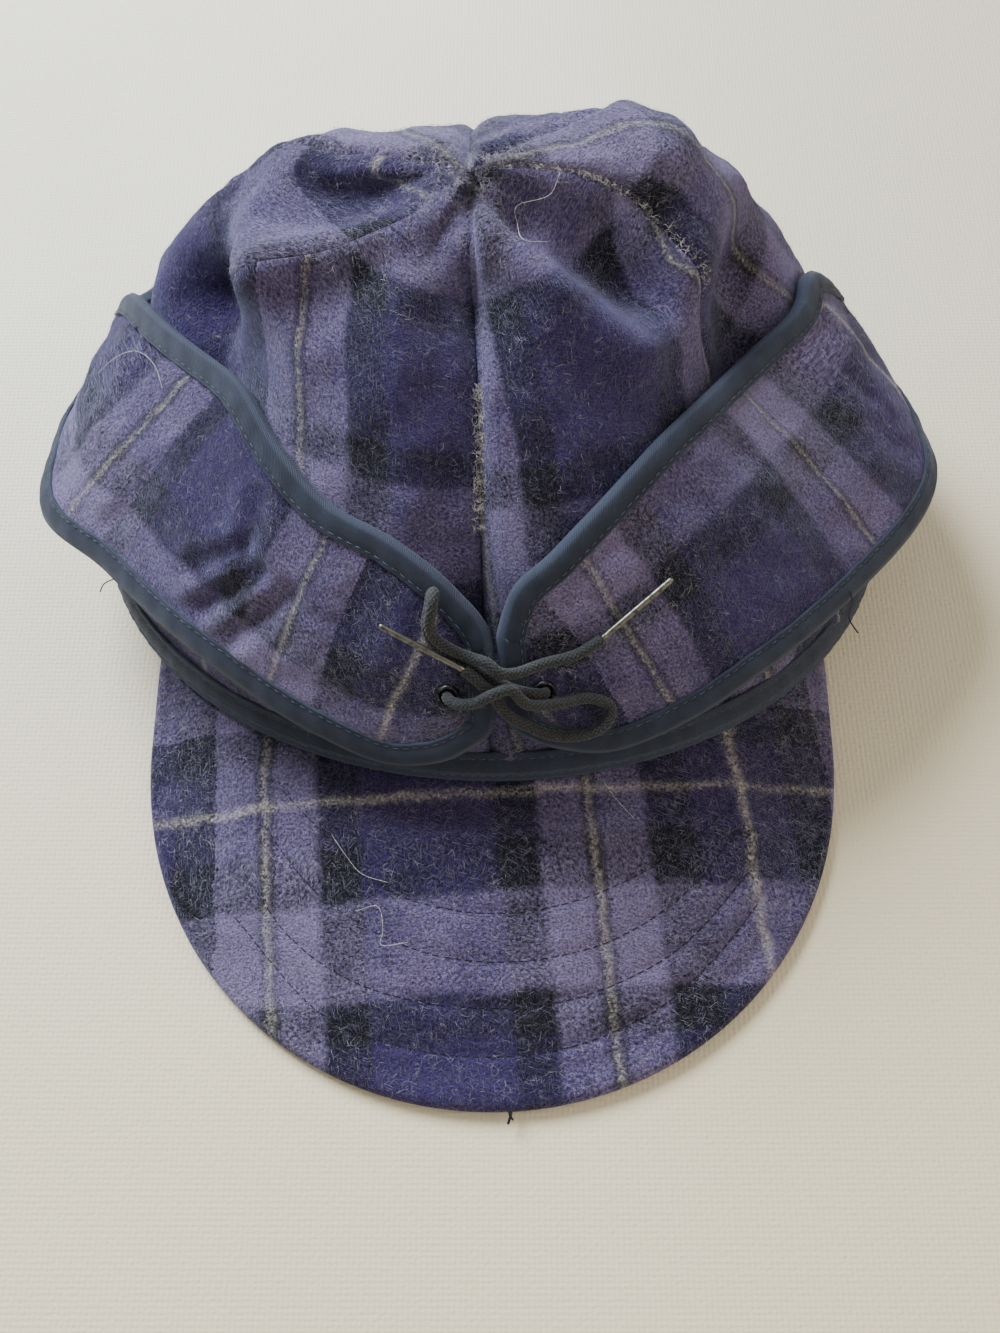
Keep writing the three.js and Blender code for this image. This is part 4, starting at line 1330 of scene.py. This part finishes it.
def make_rim_tape():
    turns = np.linspace(-179.95, 179.95, RIM_STATIONS)
    wave = 0.1 * np.sin(turns * 1.9) + 0.08 * np.sin(turns * 5.3 + 1)
    columns = []
    depths = []
    for height, stand in zip(RIM_HEIGHTS, RIM_STANDS):
        tall = height + wave * 0.5 * (height > 5)
        columns.append(off_crown(turns, rise_at(turns, tall), stand * (1 + wave)))
        depths.append(RIM_TAPE_HEIGHT - height)
    bottom = off_crown(turns, rise_at(turns, 0.35), -0.6 + 0 * turns)
    bottom[:, 2] = rim_height(turns) + 0.05
    columns.append(bottom)
    depths.append(8.6)
    for height in RIM_INSIDE:
        place = off_crown(turns, rise_at(turns, height), -WOOL - 0.5 + 0 * turns)
        columns.append(place)
        depths.append(9 + height)
    grid = np.stack(columns, 1)[:, ::-1]
    run = arc(grid[:, 0])
    cloth = np.stack(np.broadcast_arrays(run[:, None], np.array(depths[::-1])[None]), -1)
    faces = grid_faces(*grid.shape[:2])
    piece = mesh_object("tape_rim", grid.reshape(-1, 3), faces, TAPE_MATERIAL, cloth.reshape(-1, 2))
    finish_piece(piece, "binding_tape", "rim_tape")
    for name, height in RIM_STITCHES.items():
        line = off_crown(turns, rise_at(turns, height + 0 * turns), RIM_STITCH_STAND + 0 * turns)
        normals = normal_of(crown_base, turns, rise_at(turns, height + 0 * turns))
        stitches("rim_stitches_" + name, line, normals, **TAPE_STITCH)


make_rim_tape()


def visor_height(points):
    """The visor's top under points in plan, read from its finished skin."""
    flat = visor_skin.reshape(-1, 3)
    found = []
    for spot in points:
        gap = (flat[:, 0] - spot[0]) ** 2 + (flat[:, 1] - spot[1]) ** 2
        near = np.argpartition(gap, 4)[:4]
        weight = 1 / (gap[near] + 0.05)
        found.append((flat[near, 2] * weight).sum() / weight.sum())
    return np.array(found)


for number, row in enumerate(visor_rows):
    row = row.copy()
    row[:, 2] = visor_height(row)
    up = np.tile([0, -0.15, 1.0], (len(row), 1))
    stitches("visor_stitches_" + str(number + 1), row, up, **VISOR_STITCH)


# Eyelets: the section of a ring, how far from its middle and how far out of the cloth.
EYELET_SECTION = [
    (1.7, -1.6), (1.55, -0.7), (1.6, -0.05), (1.8, 0.36),
    (2.1, 0.48), (2.4, 0.36), (2.62, 0.02), (2.66, -0.5),
]
EYELET_SIDES = 40


def make_eyelet(name, rows):
    spec = EYELETS[name]
    along = np.array(float(spec["along"]))
    across = np.array(float(spec["across"]))
    normal = band_normal(rows, along, across)
    centre = band_place(rows, along, across) + normal * (BAND_WOOL / 2 + GAP + EYELET_WIRE)
    one = unit(np.cross(normal, [0, 0, 1.0]))
    two = np.cross(normal, one)
    turns = np.arange(EYELET_SIDES) / EYELET_SIDES * 2 * math.pi
    around = one * np.cos(turns)[:, None] + two * np.sin(turns)[:, None]
    grid = np.stack([centre + around * far + normal * out for far, out in EYELET_SECTION], 1)
    count, sides = grid.shape[:2]
    i, j = np.meshgrid(np.arange(count), np.arange(sides - 1), indexing="ij")
    a = i * sides + j
    b = ((i + 1) % count) * sides + j
    faces = np.stack([a, b, b + 1, a + 1], -1).reshape(-1, 4)
    piece = mesh_object("metal_" + name, grid.reshape(-1, 3), faces, DARK_METAL)
    return finish_piece(piece, "dark_metal", name)


for side, rows in BANDS.items():
    make_eyelet("eyelet_" + side, rows)


# Hairs of the wool's nap
HAIR_LENGTH = 2.8
HAIR_WIDTH = 0.06
HAIR_STEPS = 4
HAIR_JITTER = 1.2
GORE_HAIRS = 3200
BAND_HAIRS = 4600
VISOR_HAIRS = 7500


def hairs(name, skin, normals, part, count, seed):
    """Pale hairs over a part of a grid of cloth."""
    places, ways = skin[part].reshape(-1, 3), normals[part].reshape(-1, 3)
    ribbons(name, places, ways, count, HAIR_LENGTH, HAIR_WIDTH, HAIR_MATERIAL, seed)


def ribbons(name, places, normals, count, long, width, surface, seed):
    """Thin curled ribbons that lie on and stand off a surface, joined in one mesh."""
    rng = np.random.default_rng(seed)
    pick = rng.integers(0, len(places), count)
    normal = normals[pick]
    aside = unit(np.cross(normal, rng.normal(size=(count, 3))))
    root = places[pick] + aside * rng.uniform(-HAIR_JITTER, HAIR_JITTER, (count, 1))
    curl = rng.normal(scale=0.8, size=count)
    reach = long * rng.uniform(0.2, 1.0, count) ** 1.6
    high = rng.uniform(0.15, 0.75, count) ** 1.5
    steps = HAIR_STEPS
    bend_way = np.cross(normal, aside)
    place = root
    lines = [root + normal * 0.05]
    for k in range(1, steps + 1):
        turn = curl * k / steps
        way = aside * np.cos(turn)[:, None] + bend_way * np.sin(turn)[:, None]
        place = place + way * (reach / steps)[:, None]
        lines.append(place + normal * (0.05 + high * math.sin(math.pi * min(k / steps, 0.8)))[:, None])
    lines = np.stack(lines, 1)
    ahead = unit(np.gradient(lines, axis=1))
    flat = unit(np.cross(ahead, normal[:, None]))
    taper = (width * (1 - 0.6 * np.linspace(0, 1, steps + 1)))[None, :, None]
    pair = np.stack([lines - flat * taper / 2, lines + flat * taper / 2], 2)
    points = pair.reshape(-1, 3)
    base = np.arange(count)[:, None] * (steps + 1) * 2 + np.arange(steps)[None] * 2
    faces = np.stack([base, base + 1, base + 3, base + 2], -1).reshape(-1, 4)
    piece = mesh_object(name, points, faces, surface)
    return finish_piece(piece, "plaid_wool")


for number, (name, (skin, normals)) in enumerate(gore_skins.items()):
    hairs("nap_gore_" + name, skin, normals, (slice(2, -2), slice(4, -2)), GORE_HAIRS, 200 + number)
for number, (name, skin) in enumerate(band_skins.items()):
    part = (slice(6, -2), slice(6, -6))
    hairs("nap_band_" + name, skin, grid_normals(skin), part, BAND_HAIRS, 220 + number)
visor_normals = -grid_normals(visor_skin)
hairs("nap_visor", visor_skin, visor_normals, (slice(2, -2), slice(8, -3)), VISOR_HAIRS, 240)

# All the cloth that can be seen, for what is placed by a pixel of the photo.
skins = [skin for skin, _ in gore_skins.values()] + list(band_skins.values()) + [visor_skin]
skin_normals = [normals for _, normals in gore_skins.values()]
skin_normals += [grid_normals(skin) for skin in band_skins.values()] + [visor_normals]
all_places = np.concatenate([skin.reshape(-1, 3) for skin in skins])
all_normals = np.concatenate([normals.reshape(-1, 3) for normals in skin_normals])
all_pixels, all_far = in_view(all_places)


PIXEL_REACH = 2.5


def seen_at(pixel):
    """The place and normal of the cap's cloth that shows at a pixel of the photo."""
    gap = np.hypot(*(all_pixels - pixel).T)
    near = np.where(gap < gap.min() + PIXEL_REACH)[0]
    spot = near[np.argmin(all_far[near])]
    return all_places[spot], all_normals[spot]


# Loose threads and long hairs, each along pixels of the photo, from where it shows to where it ends:
# pale ones lie on the cloth and dark ones hang off it.
HANG_AHEAD = 1
LOOSE_THREAD_SPACING = 0.6
LOOSE_THREADS = [
    {
        "name": "top", "radius": 0.07, "rise": 0.7, "hangs": False,
        "seen": [(561, 173), (552, 196), (518, 210), (518, 226), (525, 243), (548, 241)],
    },
    {
        "name": "left_band", "radius": 0.06, "rise": 0.6, "hangs": False,
        "seen": [(98, 376), (115, 358), (138, 350), (154, 364), (163, 392)],
    },
    {
        "name": "visor_curl", "radius": 0.06, "rise": 0.6, "hangs": False,
        "seen": [(357, 909), (376, 907), (382, 928), (378, 944), (408, 941)],
    },
    {
        "name": "visor_left", "radius": 0.06, "rise": 0.2, "hangs": False,
        "seen": [(330, 838), (345, 856), (362, 872), (386, 884)],
    },
    {
        "name": "right_end", "radius": 0.18, "rise": 0, "hangs": True,
        "seen": [(846, 580), (852, 600), (849, 618), (858, 633)],
    },
    {
        "name": "tip_one", "radius": 0.3, "rise": 0, "hangs": True,
        "seen": [(514, 1106), (511, 1114), (508, 1124)],
    },
    {
        "name": "tip_two", "radius": 0.22, "rise": 0, "hangs": True,
        "seen": [(510, 1106), (509, 1113), (513, 1120)],
    },
    {
        "name": "left_end", "radius": 0.16, "rise": 0, "hangs": True,
        "seen": [(110, 578), (104, 584), (100, 592)],
    },
    {
        "name": "visor_right", "radius": 0.06, "rise": 0.9, "hangs": False,
        "seen": [(604, 780), (618, 797), (634, 818)],
    },
]
for thread in LOOSE_THREADS:
    found = [seen_at(np.array(pixel, float)) for pixel in thread["seen"]]
    stops = [place + normal * thread["rise"] for place, normal in found]
    surface = PALE_THREAD
    if thread["hangs"]:
        far = in_view(stops[0])[1] - HANG_AHEAD
        stops = stops[:1] + [far_along(pixel, far) for pixel in thread["seen"][1:]]
        surface = DARK_THREAD
    line = even(centripetal(stops, 12), LOOSE_THREAD_SPACING)
    points, faces = closed_tube(line, thread["radius"], THREAD_SIDES)
    piece = mesh_object("loose_thread_" + thread["name"], points, faces, surface)
    finish_piece(piece, "plaid_wool")

# Frayed edges along seams, by the photo's rows of pixels between which they show.
FRAY_WIDTH = 0.1
FRONT_FRAY = (385, 535)
FRAYS = [
    {"gore": "front_left", "columns": slice(-3, None), "rows": FRONT_FRAY, "count": 420, "length": 2.2},
    {"gore": "front_right", "columns": slice(0, 3), "rows": FRONT_FRAY, "count": 420, "length": 2.2},
    {"gore": "side_right", "columns": slice(1, 5), "rows": (158, 285), "count": 700, "length": 1.3},
]
for number, fray in enumerate(FRAYS):
    skin, normals = gore_skins[fray["gore"]]
    places = skin[fray["columns"]].reshape(-1, 3)
    down = in_view(places)[0][:, 1]
    top, bottom = fray["rows"]
    shown = (down > top) & (down < bottom)
    ways = normals[fray["columns"]].reshape(-1, 3)[shown]
    name = "fray_" + fray["gore"]
    ribbons(name, places[shown], ways, fray["count"], fray["length"], FRAY_WIDTH, TAN_HAIR, 300 + number)

# Floor and light
FLOOR_SIZE = 3.0
floor_mesh = bpy.data.meshes.new("floor")
corner = FLOOR_SIZE / 2
corners = [(-corner, -corner, 0), (corner, -corner, 0), (corner, corner, 0), (-corner, corner, 0)]
floor_mesh.from_pydata(corners, [], [(0, 1, 2, 3)])
floor_mesh.materials.append(FLOOR_MATERIAL)
floor = bpy.data.objects.new("floor", floor_mesh)
bpy.context.scene.collection.objects.link(floor)


def add_light(name, place, aim_at, size, power, tint):
    data = bpy.data.lights.new(name, "AREA")
    data.shape = "DISK"
    data.size = size
    data.energy = power
    data.color = tint
    light = bpy.data.objects.new(name, data)
    light.location = place
    light.rotation_euler = (Vector(aim_at) - Vector(place)).to_track_quat("-Z", "Y").to_euler()
    bpy.context.scene.collection.objects.link(light)


LIGHTS = [
    {
        "name": "window light", "place": (-0.58, 0.68, 0.76), "aim_at": (0, 0, 0.03), "size": 0.62,
        "power": 33, "tint": (0.88, 0.945, 1.0),
    },
    {
        "name": "warm fill", "place": (0.9, -0.2, 0.6), "aim_at": (0, 0, 0), "size": 0.9,
        "power": 5, "tint": (1.0, 0.86, 0.66),
    },
]
for row in LIGHTS:
    add_light(**row)
ROOM_TINT = (1.0, 0.96, 0.89, 1.0)
ROOM_STRENGTH = 0.44
world = bpy.data.worlds.new("soft room")
world.use_nodes = True
background = world.node_tree.nodes["Background"]
background.inputs["Color"].default_value = ROOM_TINT
background.inputs["Strength"].default_value = ROOM_STRENGTH
bpy.context.scene.world = world
